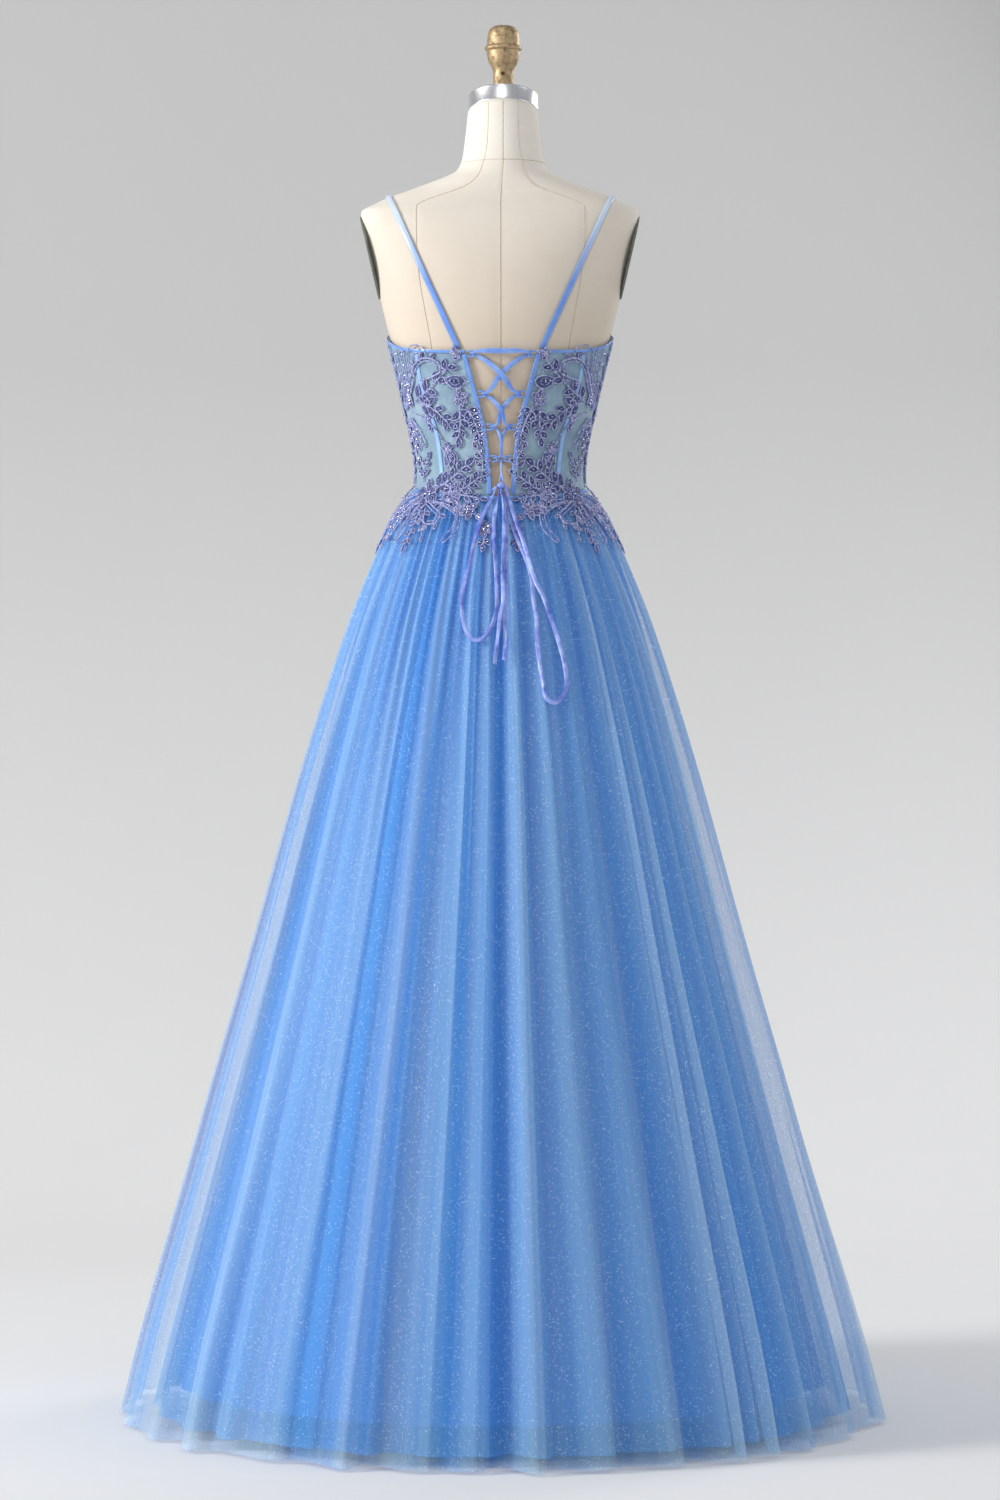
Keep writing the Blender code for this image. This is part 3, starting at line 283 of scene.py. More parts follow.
@dataclass(frozen=True)
class SkirtShape:
    """The skirt's layers by their tables: fall, half width, half depth; and its folds."""

    body: BodyShape
    outer: Array = sizes(
        (0.0, 0.1095, 0.086), (0.03, 0.131, 0.108), (0.057, 0.1455, 0.123), (0.088, 0.161, 0.139),
        (0.138, 0.184, 0.164), (0.221, 0.216, 0.201), (0.312, 0.248, 0.238), (0.495, 0.3065, 0.302),
        (0.632, 0.352, 0.35), (0.719, 0.38, 0.379), (0.852, 0.425, 0.425), (0.923, 0.448, 0.448),
        (1.0, 0.47, 0.47),
    )
    under: Array = sizes(
        (0.0, 0.108, 0.084), (0.03, 0.124, 0.101), (0.088, 0.1475, 0.127), (0.138, 0.165, 0.146),
        (0.221, 0.189, 0.174), (0.495, 0.264, 0.26), (0.719, 0.33, 0.329), (1.0, 0.41, 0.41),
    )
    # Turn in degrees, millimetres out (+) or in (-) at the hem
    folds: Array = sizes(
        (-174, 12), (-167, -14), (-160, 13), (-153, -12), (-147, 11), (-140, -15), (-133, 14), (-127, -12),
        (-121, 12), (-113, -14), (-105, 12), (-98, -11), (-90, 6), (-83.5, -12), (-77, 12), (-69, -13),
        (-60, 15), (-54.5, -14), (-48.8, 13), (-45, -12), (-41.4, 13), (-38.3, -13), (-35.3, 14),
        (-30, -12), (-24, 6), (-19, -12), (-14, 13), (-9, -10), (-4.2, 15), (-0.8, -22), (4.8, 4),
        (7.6, -4), (11.4, 10), (18.4, -16), (22.6, 14), (29, -8), (36, 7), (43, -10), (51, 14), (56, -12),
        (62, 13), (68, -11), (75, 11), (82.5, -12), (90, 6), (98, -12), (106, 13), (114, -13), (121, 12),
        (128, -13), (136, 14), (144, -11), (151, 12), (158, -13), (165, 12), (172, -10), (179, 7),
        (183, -9),
    )
    lean_seed: int = 11
    least_lean: float = 0.35
    most_lean: float = 1.25
    # Millimetres out of a common crest at the hem
    crest_out: float = 14.0

    def rows(self) -> Array:
        """The folds with a row more at each end, so that they close round the body."""
        first, last = self.folds[:1] + ((360, 0),), self.folds[-1:] - ((360, 0),)
        return np.concatenate((last, self.folds, first))

    def fold_parts(self, turn: Array) -> tuple[Array, Array, Array]:
        """The folds at each turn.

        Args:
            turn: Turns round the body.

        Returns:
            Millimetres out at the hem, the crest (1 on a ridge, -1 in a valley), and how far a
            ridge leans over its neighbour, in radians.
        """
        degrees = (np.degrees(turn) + 177) % 360 - 177
        rows = self.rows()
        spacing = np.radians(np.diff(rows[:, 0], prepend=rows[0, 0] - 6))
        rng = np.random.default_rng(self.lean_seed)
        shares = rng.uniform(self.least_lean, self.most_lean, len(rows))
        shares[-2:] = shares[:2]
        reach = shares * spacing / math.pi
        at = np.clip(np.searchsorted(rows[:, 0], degrees, side="right") - 1, 0, len(rows) - 2)
        share = (degrees - rows[at, 0]) / (rows[at + 1, 0] - rows[at, 0])
        blend = (1 - np.cos(math.pi * share)) / 2
        wave = rows[at, 1] + (rows[at + 1, 1] - rows[at, 1]) * blend
        crest = np.where(rows[at, 1] > rows[at + 1, 1], 1.0, -1.0) * np.cos(math.pi * share)
        return wave, crest, reach[at] + (reach[at + 1] - reach[at]) * blend

    def depth(self, fall: Array) -> Array:
        """How much of the hem's fold depth there is at each fall."""
        top = 0.34 * step_up(fall, 0.0, 0.16)
        return top + 0.26 * step_up(fall, 0.1, 0.55) + 0.45 * step_up(fall, 0.5, 1.0)

    def points(self, turn: Array, fall: Array, rows: Array, out: float, folds: Array = 0.0) -> Array:
        """Points of a layer, which starts on the body at the waist seam and opens to its table.

        Args:
            turn: Turns round the body.
            fall: Falls from the waist to the hem.
            rows: The layer's table.
            out: Distance outside the body at the waist seam.
            folds: Millimetres out or in.

        Returns:
            The points.
        """
        turn, fall = np.broadcast_arrays(np.asarray(turn, float), np.asarray(fall, float))
        top = self.body.waist_height(turn) - 2 * SEAM
        height = top - (top - HEM_Z) * fall
        at_waist = self.body.points(turn, top, out)
        below = np.maximum(fall, WAIST_FALL)
        across, deep = curve(below, rows, 1), curve(below, rows, 2)
        y = deep * np.cos(turn) - 0.004 * (1 - step_up(below, 0, 0.4))
        opened = np.stack((across * np.sin(turn), y, height), axis=-1)
        share = np.clip(fall / WAIST_FALL, 0, 1)[..., None]
        points = at_waist * (1 - share) + opened * share
        points[..., 2] = height
        points[..., 0] += folds / 1000 * np.sin(turn)
        points[..., 1] += folds / 1000 * np.cos(turn)
        return points

    def crest(self, turn: Array, fall: Array) -> Array:
        """Millimetres out of the gathers' envelope, on which the hip lace lies."""
        near = np.radians(np.linspace(-3, 3, 7)).reshape((7,) + (1,) * np.ndim(turn))
        wave = self.fold_parts(turn[None] + near)[0]
        return np.max(wave, axis=0) * self.depth(fall)

    def back_face(self, x: float, height: float, out: float) -> tuple[Array, Array]:
        """A point over the skirt's back with its normal, by distance across and height."""

        def fall_at(turn: float, level: float) -> float:
            """The fall at a height."""
            top = self.body.waist_height(turn)
            return max((top - level) / (top - HEM_Z), 0.0)

        def at(across: float, level: float) -> Array:
            """The point of the gathers' crests, by closing in on its turn."""
            turn = 0.0
            for _ in range(6):
                wide = float(self.points(math.pi / 2, fall_at(turn, level), self.outer, SKIRT_OUT)[0])
                turn = math.asin(across / wide)
            fall = fall_at(turn, level)
            crest = self.crest_out * self.depth(fall) + 1.0
            return np.array((across, self.points(turn, fall, self.outer, SKIRT_OUT, crest)[1], level))

        normal = normals_of(at, x, height, 1e-3)
        normal = normal if normal[1] > 0 else -normal
        return at(x, height) + normal * out, normal


# Meshes


def new_piece(name: str, points: Array, faces: Sequence, finish: Material,
              slot: str, smooth: bool = True, uvs: dict[str, Array] | None = None) -> Piece:
    """A mesh piece that rides on the dress's one body.

    Args:
        name: The piece's name.
        points: Its points, in any arrangement.
        faces: Its faces, as tuples of point numbers.
        finish: Its material.
        slot: Not used.
        smooth: Whether it is shaded smooth.
        uvs: Named coordinates, one pair for each corner of each face.

    Returns:
        The new object.
    """
    mesh = bpy.data.meshes.new(name)
    points = np.asarray(points, float).reshape(-1, 3)
    if isinstance(faces, np.ndarray):
        size = faces.shape[1]
        mesh.vertices.add(len(points))
        mesh.vertices.foreach_set("co", points.astype(np.float32).ravel())
        mesh.loops.add(faces.size)
        mesh.loops.foreach_set("vertex_index", faces.astype(np.int32).ravel())
        mesh.polygons.add(len(faces))
        mesh.polygons.foreach_set("loop_start", np.arange(0, faces.size, size, dtype=np.int32))
        mesh.polygons.foreach_set("loop_total", np.full(len(faces), size, np.int32))
        mesh.update(calc_edges=True)
        mesh.validate()
    else:
        mesh.from_pydata([tuple(p) for p in points], [], [tuple(int(v) for v in f) for f in faces])
    for label, values in (uvs or {}).items():
        mesh.uv_layers.new(name=label).data.foreach_set("uv", np.asarray(values, np.float32).ravel())
    mesh.polygons.foreach_set("use_smooth", [smooth] * len(mesh.polygons))
    mesh.materials.append(finish)
    made = put(name, mesh)
    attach(made, BODY)
    LOG.info("%s: %d faces", name, len(mesh.polygons))
    return made


def grid_cells(rows: int, columns: int, closed: bool) -> Array:
    """Row and column of each cell between a grid's points."""
    return np.indices((rows - 1, columns - (not closed))).reshape(2, -1)


def grid_faces(rows: int, columns: int, closed: bool = False, start: int = 0) -> Array:
    """Faces of a grid of points, row by row.

    Args:
        rows: Rows of points.
        columns: Columns of points.
        closed: Whether the last column joins the first.
        start: Number of the grid's first point.

    Returns:
        The faces, four point numbers each.
    """
    row, column = grid_cells(rows, columns, closed)
    after = (column + 1) % columns
    this, below = row * columns, (row + 1) * columns
    return start + np.stack((this + column, this + after, below + after, below + column), axis=1)


def grid_uvs(rows: int, columns: int, closed: bool, wide: float, tall: float) -> Array:
    """Cloth coordinates of a grid's faces, in metres across and down."""
    row, column = grid_cells(rows, columns, closed)
    u = np.stack((column, column + 1, column + 1, column), axis=1) * wide / (columns - (not closed))
    v = np.stack((row, row, row + 1, row + 1), axis=1) * tall / (rows - 1)
    return np.stack((u, -v), axis=2)


def along(points: Array, count: int) -> Array:
    """The same route with this many points, evenly spaced, on a smooth curve."""
    lengths = np.concatenate(([0.0], np.cumsum(steps_of(points))))
    marks = np.linspace(0, lengths[-1], count)
    columns = [curve(marks, np.stack((lengths, points[:, axis]), axis=1)) for axis in range(points.shape[1])]
    return np.stack(columns, axis=1)


def tube_rings(points: Array, normals: Array, radii: Array, sides: int) -> Array:
    """Rings of a thin cord that lies on a surface.

    Args:
        points: The cord's route.
        normals: The surface's normals along it.
        radii: The cord's radius at each point, or one for all.
        sides: Sides of the cord.

    Returns:
        The rings, (points, sides, 3).
    """
    tangents = unit(np.gradient(points, axis=0))
    sideways = unit(np.cross(tangents, normals))
    lifts = np.cross(sideways, tangents)
    angle = circle(sides)
    radii = np.broadcast_to(np.asarray(radii, float), (len(points),))[:, None, None]
    wheel = np.cos(angle)[None, :, None] * sideways[:, None] + np.sin(angle)[None, :, None] * lifts[:, None]
    return points[:, None] + radii * wheel


def capped(rings: Array, start: int = 0) -> list[tuple[int, ...]]:
    """Faces of closed rings joined in order, with a face on each end."""
    rows, columns = rings.shape[:2]
    faces = [tuple(face) for face in grid_faces(rows, columns, True, start)]
    faces.append(tuple(start + np.arange(columns)[::-1]))
    faces.append(tuple(start + np.arange((rows - 1) * columns, rows * columns)))
    return faces


def shell(name: str, rings: Array, finish: Material, slot: str) -> Piece:
    """A closed piece made of rings."""
    return new_piece(name, rings, capped(rings), finish, slot)


@dataclass(frozen=True)
class RibbonCut:
    """A satin ribbon's section: its thickness, its crown and how it twists and buckles."""

    thick: float = 0.0009
    crown: float = 0.0005
    twist: float = 0.0
    buckle: float = 0.0
    seed: int = 1
    across: tuple[float, ...] = (1.0, 0.86, 0.5, 0.0, -0.5, -0.86, -1.0)

    def frames(self, points: Array, normals: Array) -> tuple[Array, Array]:
        """Directions across and off the ribbon, which turn smoothly along it."""
        tangents = unit(np.gradient(points, axis=0))
        wishes = np.cross(tangents, unit(normals))
        kept = unit(wishes[0])
        sides = []
        for tangent, wish in zip(tangents, wishes):
            share = min(float(wish @ wish), 1.0)
            kept = unit(kept - tangent * (kept @ tangent))
            turn = 1.0 if wish @ kept >= 0 else -1.0
            kept = unit((1 - share) * kept + share * turn * unit(wish))
            kept = unit(kept - tangent * (kept @ tangent))
            sides.append(kept)
        sides = np.array(sides)
        return sides, np.cross(sides, tangents)

    def rings(self, points: Array, normals: Array, widths: Array) -> Array:
        """Closed sections along a ribbon's route.

        Args:
            points: The route.
            normals: Which way its face looks.
            widths: The ribbon's width at each point, or one for all.

        Returns:
            The rings, (points, 2 x across, 3).
        """
        sides, lifts = self.frames(points, normals)
        count = len(points)
        place = np.linspace(0, 1, count)
        rng = np.random.default_rng(self.seed)
        phases = rng.uniform(0, math.tau, 4)
        sway = np.sin(9 * place + phases[0]) + 0.6 * np.sin(23 * place + phases[1])
        angle = (self.twist * sway)[:, None]
        turned = np.cos(angle) * sides + np.sin(angle) * lifts
        raised = np.cos(angle) * lifts - np.sin(angle) * sides
        half = (np.broadcast_to(np.asarray(widths, float), (count,)) / 2)[:, None, None]
        across = np.array(self.across)[None, :, None]
        crease = np.sin(41 * place + phases[2])[:, None, None] * np.sin(2.2 * across + phases[3])
        lift = self.crown * (0.5 - across**2) + self.buckle * crease
        face = points[:, None] + turned[:, None] * across * half + raised[:, None] * lift
        thick = raised[:, None] * self.thick / 2
        return np.concatenate((face + thick, (face - thick)[:, ::-1]), axis=1)


def ribbon(name: str, points: Array, normals: Array, widths: Array, cut: RibbonCut,
           finish: Material, slot: str, node: str) -> Piece:
    """A ribbon piece that stands for a solid of the same route."""
    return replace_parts(shell(name, cut.rings(points, normals, widths), finish, slot), node)


# Finishes


class Socket(Enum):
    """Kinds of socket that a node group has."""

    NUMBER = "NodeSocketFloat"
    VECTOR = "NodeSocketVector"
    COLOUR = "NodeSocketColor"


class ShaderTree:
    """A tree of shader nodes, with a short way to add each kind of step."""

    tree: bpy.types.NodeTree

    def feed(self, socket: Link, value: object) -> None:
        """Links a socket to an input or sets the input's value; a colour gets its alpha."""
        if isinstance(value, Link):
            self.tree.links.new(value, socket)
        else:
            socket.default_value = (*value, 1.0) if socket.type == "RGBA" else value

    def add(self, kind: str, links: dict | None = None, **settings: object) -> bpy.types.Node:
        """A new node with its settings and its inputs.

        Args:
            kind: The node's type without the words ShaderNode.
            links: For each input, by name or number, a socket to link or a value to set.
            settings: The node's own settings.

        Returns:
            The node.
        """
        node = self.tree.nodes.new("ShaderNode" + kind)
        for key, value in settings.items():
            setattr(node, key, value)
        for key, value in (links or {}).items():
            self.feed(node.inputs[key], value)
        return node

    def ramp(self, source: Link, low: object, high: object) -> Link:
        """The source mapped from low..high to 0..1 and kept inside."""
        links = {"Value": source, "From Min": low, "From Max": high}
        return self.add("MapRange", links, clamp=True).outputs["Result"]

    def maths(self, what: str, first: object, second: object = 0.0) -> Link:
        """One step of arithmetic."""
        return self.add("Math", {0: first, 1: second}, operation=what).outputs[0]

    def total(self, *parts: tuple[object, float]) -> Link:
        """The sum of values, each times its weight."""
        found = 0.0
        for value, weight in parts:
            found = self.add("Math", {0: value, 1: weight, 2: found}, operation="MULTIPLY_ADD").outputs[0]
        return found

    def blend(self, share: object, first: object, second: object) -> Link:
        """Two colours mixed by a share."""
        return self.add("Mix", {0: share, 6: first, 7: second}, data_type="RGBA").outputs[2]


class Group(ShaderTree):
    """A shader node group with named inputs and outputs, made once."""

    def __init__(self, name: str, inputs: dict[str, float], **outputs: Socket) -> None:
        """Makes the group's sockets.

        Args:
            name: The group's name.
            inputs: Each number's name and its value at first; a vector comes before them.
            outputs: Each output's kind.
        """
        self.tree = bpy.data.node_groups.new(name, "ShaderNodeTree")
        self.tree.interface.new_socket("Vector", in_out="INPUT", socket_type=Socket.VECTOR.value)
        for label, value in inputs.items():
            made = self.tree.interface.new_socket(label, in_out="INPUT", socket_type=Socket.NUMBER.value)
            made.default_value = value
        for label, kind in outputs.items():
            self.tree.interface.new_socket(label, in_out="OUTPUT", socket_type=kind.value)
        self.start = list(self.tree.nodes.new("NodeGroupInput").outputs)[:len(inputs) + 1]
        self.end = self.tree.nodes.new("NodeGroupOutput")

    def give(self, **results: Link) -> None:
        """Links sockets to the group's outputs."""
        for label, socket in results.items():
            self.tree.links.new(socket, self.end.inputs[label])


class Effects:
    """The effects that several finishes share, each as one node group."""

    def __init__(self) -> None:
        """Makes each group once."""
        self.glitter = self.make_glitter()
        self.streaks = self.make_streaks()
        self.weave = self.make_weave()
        self.wear = self.make_wear()
        self.crinkle = self.make_crinkle()

    @staticmethod
    def make_glitter() -> Group:
        """Sparse bright flecks: a mask and a tint."""
        group = Group("Glitter", {"Scale": 220.0, "Fleck": 0.16, "Share": 0.3},
                      Mask=Socket.NUMBER, Tint=Socket.COLOUR)
        vector, scale, fleck, share = group.start
        cells = group.add("TexVoronoi", {"Vector": vector, "Scale": scale}).outputs
        near = group.maths("LESS_THAN", cells["Distance"], fleck)
        parts = group.add("SeparateColor", {"Color": cells["Color"]}).outputs
        chosen = group.maths("LESS_THAN", parts[0], share)
        group.give(Mask=group.maths("MULTIPLY", near, chosen),
                   Tint=group.blend(parts[1], (0.8, 0.92, 1.0), (1.0, 0.95, 0.82)))
        return group

    @staticmethod
    def make_streaks() -> Group:
        """Long uneven bands that run down the cloth, from its cloth coordinates."""
        group = Group("FoldStreaks", {"Across": 30.0, "Down": 0.9}, Value=Socket.NUMBER)
        cloth, across, down = group.start
        scale = group.add("CombineXYZ", {0: across, 1: down, 2: 1.0}).outputs[0]
        stretched = group.add("VectorMath", {0: cloth, 1: scale}, operation="MULTIPLY").outputs[0]
        noise = group.add("TexNoise", {"Vector": stretched, "Scale": 1.0, "Detail": 3.0, "Roughness": 0.6})
        group.give(Value=group.ramp(noise.outputs[0], 0.3, 0.7))
        return group

    @staticmethod
    def make_weave() -> Group:
        """Fine crossing threads: their height."""
        group = Group("Weave", {"Threads": 900.0, "Uneven": 0.5}, Height=Socket.NUMBER)
        vector, threads, uneven = group.start
        parts = group.add("SeparateXYZ", {0: vector}).outputs
        waves = [group.maths("SINE", group.maths("MULTIPLY", parts[axis], threads)) for axis in (0, 2)]
        noise = group.add("TexNoise", {"Vector": vector, "Scale": 260.0, "Detail": 2.0}).outputs[0]
        slub = group.maths("MULTIPLY", noise, uneven)
        group.give(Height=group.maths("ADD", group.maths("MULTIPLY", *waves), slub))
        return group

    @staticmethod
    def make_wear() -> Group:
        """Blotches and specks, as on old metal or handled cloth."""
        group = Group("Wear", {"Scale": 60.0, "Cut": 0.5}, Mask=Socket.NUMBER, Fine=Socket.NUMBER)
        vector, scale, cut = group.start
        links = {"Vector": vector, "Scale": scale, "Detail": 6.0, "Roughness": 0.65}
        noise = group.add("TexNoise", links).outputs[0]
        low, high = (group.maths(what, cut, 0.1) for what in ("SUBTRACT", "ADD"))
        group.give(Mask=group.ramp(noise, low, high), Fine=noise)
        return group

    @staticmethod
    def make_crinkle() -> Group:
        """Soft creases: their height."""
        group = Group("Crinkle", {"Scale": 90.0}, Height=Socket.NUMBER)
        vector, scale = group.start
        links = {"Vector": vector, "Scale": scale, "Detail": 2.0, "Distortion": 0.6}
        group.give(Height=group.add("TexNoise", links).outputs[0])
        return group


class Paint(ShaderTree):
    """One material being made: its tree and its Principled shader."""

    def __init__(self, name: str) -> None:
        """Makes the material with an empty Principled shader."""
        self.material = bpy.data.materials.new(name)
        self.material.use_nodes = True
        self.tree = self.material.node_tree
        self.shader = self.tree.nodes["Principled BSDF"]
        self.place = self.add("TexCoord").outputs["Object"]

    def set(self, **values: object) -> None:
        """Sets or links the shader's sockets; a socket's name has _ for each space."""
        for key, value in values.items():
            self.feed(self.shader.inputs[key.replace("_", " ")], value)

    def use(self, group: Group, **links: object) -> bpy.types.NodeOutputs:
        """Outputs of a shared effect, read at the piece's own coordinates or at a given Vector."""
        return self.add("Group", {"Vector": self.place, **links}, node_tree=group.tree).outputs

    def bump(self, height: Link, strength: float, depth: float) -> None:
        """Raises the surface by a height, in metres at full strength."""
        links = {"Height": height, "Strength": strength, "Distance": depth}
        self.set(Normal=self.add("Bump", links).outputs[0])

    def cloth(self, layer: str = "cloth") -> Link:
        """The cloth's own coordinates, by their layer."""
        return self.add("UVMap", uv_map=layer).outputs[0]

    def part(self, source: Link, number: int) -> Link:
        """One number of a vector."""
        return self.add("SeparateXYZ", {0: source}).outputs[number]


@dataclass(frozen=True)
class Finish:
    """A material's name and the way it is painted."""

    name: str

    def build(self, effects: Effects) -> Material:
        """Makes the material."""
        paint = Paint(self.name)
        self.dress(paint, effects)
        return paint.material

    def dress(self, paint: Paint, effects: Effects) -> None:
        """Paints the material."""
        raise NotImplementedError


@dataclass(frozen=True)
class TulleFinish(Finish):
    """Glitter net: its shades, how much it covers, and its flecks, with painted light and shade by the folds'
    crests.
    """

    # pale and deep are the net's shades, mixed by random streaks and by the folds' crests, the crests as
    # painted light and shade
    pale: RGB
    deep: RGB
    cover: tuple[float, float]
    flecks: float = 0.3
    fleck_scale: float = 520.0
    # edge is the colour of the painted highlight line along each ridge
    edge: RGB = (0.72, 0.84, 1.0)
    frost: RGB = (0.8, 0.9, 1.0)

    def dress(self, paint: Paint, effects: Effects) -> None:
        """Streaks down the folds, paler ridges and deeper valleys as painted light and shade, a painted
        highlight line on each ridge, flecks that glow as a painted glint, and dust.
        """
        cloth = paint.cloth()
        broad = paint.use(effects.streaks, Vector=cloth, Across=9.0, Down=0.45)[0]
        fine = paint.use(effects.streaks, Vector=cloth, Across=70.0, Down=0.8)[0]
        # The fold's crest paints ridges paler and valleys deeper: painted light and shade
        ridge = paint.part(paint.cloth("fold"), 0)
        tone = paint.total((broad, 0.55), (fine, 0.2), (ridge, 0.42))
        # A painted highlight along the crest of each ridge, stronger where the broad streaks are
        line = paint.maths("MULTIPLY", paint.ramp(ridge, 0.97, 1.0), paint.maths("MULTIPLY", broad, 0.42))
        fleck, tint = paint.use(effects.glitter, Scale=self.fleck_scale, Fleck=0.17, Share=self.flecks)[:2]
        dust = paint.use(effects.glitter, Scale=900.0, Fleck=0.34, Share=0.3)[0]
        base = paint.blend(paint.ramp(tone, 0.25, 0.92), self.deep, self.pale)
        ridge_highlighted = paint.blend(line, base, self.edge)
        dusted = paint.blend(paint.maths("MULTIPLY", dust, 0.3), ridge_highlighted, self.frost)
        low, high = self.cover
        cover = paint.total((broad, low - high), (line, 0.16), (1.0, high))
        # The flecks also glow with a faint emission in their tint: a painted glint
        paint.set(
            Base_Color=paint.blend(fleck, dusted, tint), Alpha=paint.maths("MAXIMUM", cover, fleck),
            Roughness=paint.total((fleck, -0.35), (1.0, 0.75)), Sheen_Weight=0.25, Sheen_Roughness=0.4,
            Emission_Color=paint.blend(fleck, (0.0, 0.0, 0.0), tint), Emission_Strength=0.3,
        )


@dataclass(frozen=True)
class LiningFinish(Finish):
    """The opaque skirt lining under the net."""

    # light and dark are the blue on a ridge and in a valley: painted light and shade, also mixed by the
    # streaks
    light: RGB = (0.06, 0.33, 0.88)
    dark: RGB = (0.015, 0.14, 0.6)

    def dress(self, paint: Paint, effects: Effects) -> None:
        """Streaks down the folds, paler on the ridges and darker in the valleys as painted light and shade,
        with a fine weave.
        """
        broad = paint.use(effects.streaks, Vector=paint.cloth(), Across=11.0, Down=0.5)[0]
        ridge = paint.part(paint.cloth("fold"), 0)
        # The crests make ridges paler and valleys darker: painted light and shade
        tone = paint.ramp(paint.total((broad, 0.5), (ridge, 0.5)), 0.1, 0.9)
        paint.set(Base_Color=paint.blend(tone, self.dark, self.light), Roughness=0.6, Sheen_Weight=0.2)
        paint.bump(paint.use(effects.weave, Threads=2600.0, Uneven=0.4)[0], 0.25, 0.0002)


@dataclass(frozen=True)
class SatinFinish(Finish):
    """Ribbon satin with soft creases, painted dark in their hollows and light on their crests, and a painted
    highlight above a height.
    """

    light: RGB
    dark: RGB
    crease: float
    rough: float
    crease_scale: float = 45.0
    # Above this height the satin turns pale: a painted highlight
    highlight_from: float = 9.0
    pale: RGB = (0.66, 0.8, 1.0)

    def dress(self, paint: Paint, effects: Effects) -> None:
        """Creases over a fine weave, with painted shade in the creases' hollows and a painted highlight above
        a height.
        """
        creases = paint.use(effects.crinkle, Scale=self.crease_scale)[0]
        weave = paint.use(effects.weave, Threads=5200.0, Uneven=0.2)[0]
        # The creases' hollows get the dark colour and their crests the light one: painted shade and highlight
        shade = paint.blend(paint.ramp(creases, 0.3, 0.72), self.dark, self.light)
        # Paler towards the top: a painted highlight
        top_highlight = paint.ramp(paint.part(paint.place, 2), self.highlight_from, self.highlight_from + 0.09)
        paint.set(Base_Color=paint.blend(top_highlight, shade, self.pale), Roughness=self.rough,
                  Specular_IOR_Level=0.7, Anisotropic=0.4, Sheen_Weight=0.25)
        paint.bump(paint.total((creases, 1.0), (weave, 0.04)), self.crease, 0.0012)


@dataclass(frozen=True)
class NetFinish(Finish):
    """The bodice's fine see-through net."""

    light: RGB = (0.35, 0.51, 0.64)
    dark: RGB = (0.23, 0.37, 0.5)
    cover: float = 0.72

    def dress(self, paint: Paint, effects: Effects) -> None:
        """Soft blotches and a weave of holes."""
        weave = paint.use(effects.weave, Threads=3600.0, Uneven=0.8)[0]
        soft = paint.use(effects.wear, Scale=26.0, Cut=0.5)[0]
        alpha = paint.total((1.0, self.cover), (paint.ramp(weave, -1.0, 1.4), 0.22))
        paint.set(Base_Color=paint.blend(soft, self.dark, self.light), Roughness=0.7, Alpha=alpha,
                  Sheen_Weight=0.3)


@dataclass(frozen=True)
class ThreadFinish(Finish):
    """Embroidery thread, twisted and a little shiny."""

    light: RGB
    dark: RGB
    rough: float = 0.42

    def dress(self, paint: Paint, effects: Effects) -> None:
        """Small patches of two shades over the twist."""
        patch = paint.use(effects.wear, Scale=310.0, Cut=0.5)[0]
        paint.set(Base_Color=paint.blend(patch, self.dark, self.light), Roughness=self.rough,
                  Specular_IOR_Level=0.6, Sheen_Weight=0.2)
        paint.bump(paint.use(effects.weave, Threads=5600.0, Uneven=0.6)[0], 0.5, 0.0002)


@dataclass(frozen=True)
class BeadFinish(Finish):
    """Small silver-lilac beads."""

    light: RGB = (0.92, 0.93, 1.0)
    dark: RGB = (0.3, 0.3, 0.62)

    def dress(self, paint: Paint, effects: Effects) -> None:
        """Patches of bright and dull metal."""
        patch, fine = paint.use(effects.wear, Scale=420.0, Cut=0.5)[:2]
        paint.set(Base_Color=paint.blend(patch, self.dark, self.light),
                  Roughness=paint.ramp(fine, -0.2, 2.6), Metallic=0.85)


@dataclass(frozen=True)
class CoverFinish(Finish):
    """The form's cream jersey cover, painted darker towards the waist as painted shade."""

    # top is the cover's cream; low is the same cream in painted shade towards the waist; stain is real stains
    top: RGB = (0.88, 0.83, 0.75)
    low: RGB = (0.58, 0.45, 0.32)
    stain: RGB = (0.52, 0.42, 0.3)

    def dress(self, paint: Paint, effects: Effects) -> None:
        """Painted shade that darkens the cover down towards the waist, faint stains and a coarse weave."""
        # Darker lower down: painted shade
        tone = paint.ramp(paint.part(paint.place, 2), 1.16, 1.58)
        stained = paint.maths("MULTIPLY", paint.use(effects.wear, Scale=9.0, Cut=0.52)[0], 0.12)
        stained_and_shaded = paint.blend(stained, paint.blend(tone, self.low, self.top), self.stain)
        paint.set(Base_Color=stained_and_shaded, Roughness=0.88, Sheen_Weight=0.15)
        paint.bump(paint.use(effects.weave, Threads=3100.0, Uneven=1.2)[0], 0.3, 0.00025)


@dataclass(frozen=True)
class MetalFinish(Finish):
    """A cast or turned metal with blotches."""

    clean: RGB
    stained: RGB
    rough: tuple[float, float]
    scale: float
    cut: float
    metallic: float = 1.0
    dent: float = 0.1

    def dress(self, paint: Paint, effects: Effects) -> None:
        """Blotches and specks, each duller than the clean metal."""
        wear = paint.use(effects.wear, Scale=self.scale, Cut=self.cut)[0]
        specks, fine = paint.use(effects.wear, Scale=self.scale * 9, Cut=0.62)[:2]
        both = paint.maths("MAXIMUM", wear, specks)
        low, high = self.rough
        paint.set(Base_Color=paint.blend(both, self.clean, self.stained), Metallic=self.metallic,
                  Roughness=paint.total((1.0, low), (both, high - low)))
        paint.bump(fine, self.dent, 0.0006)


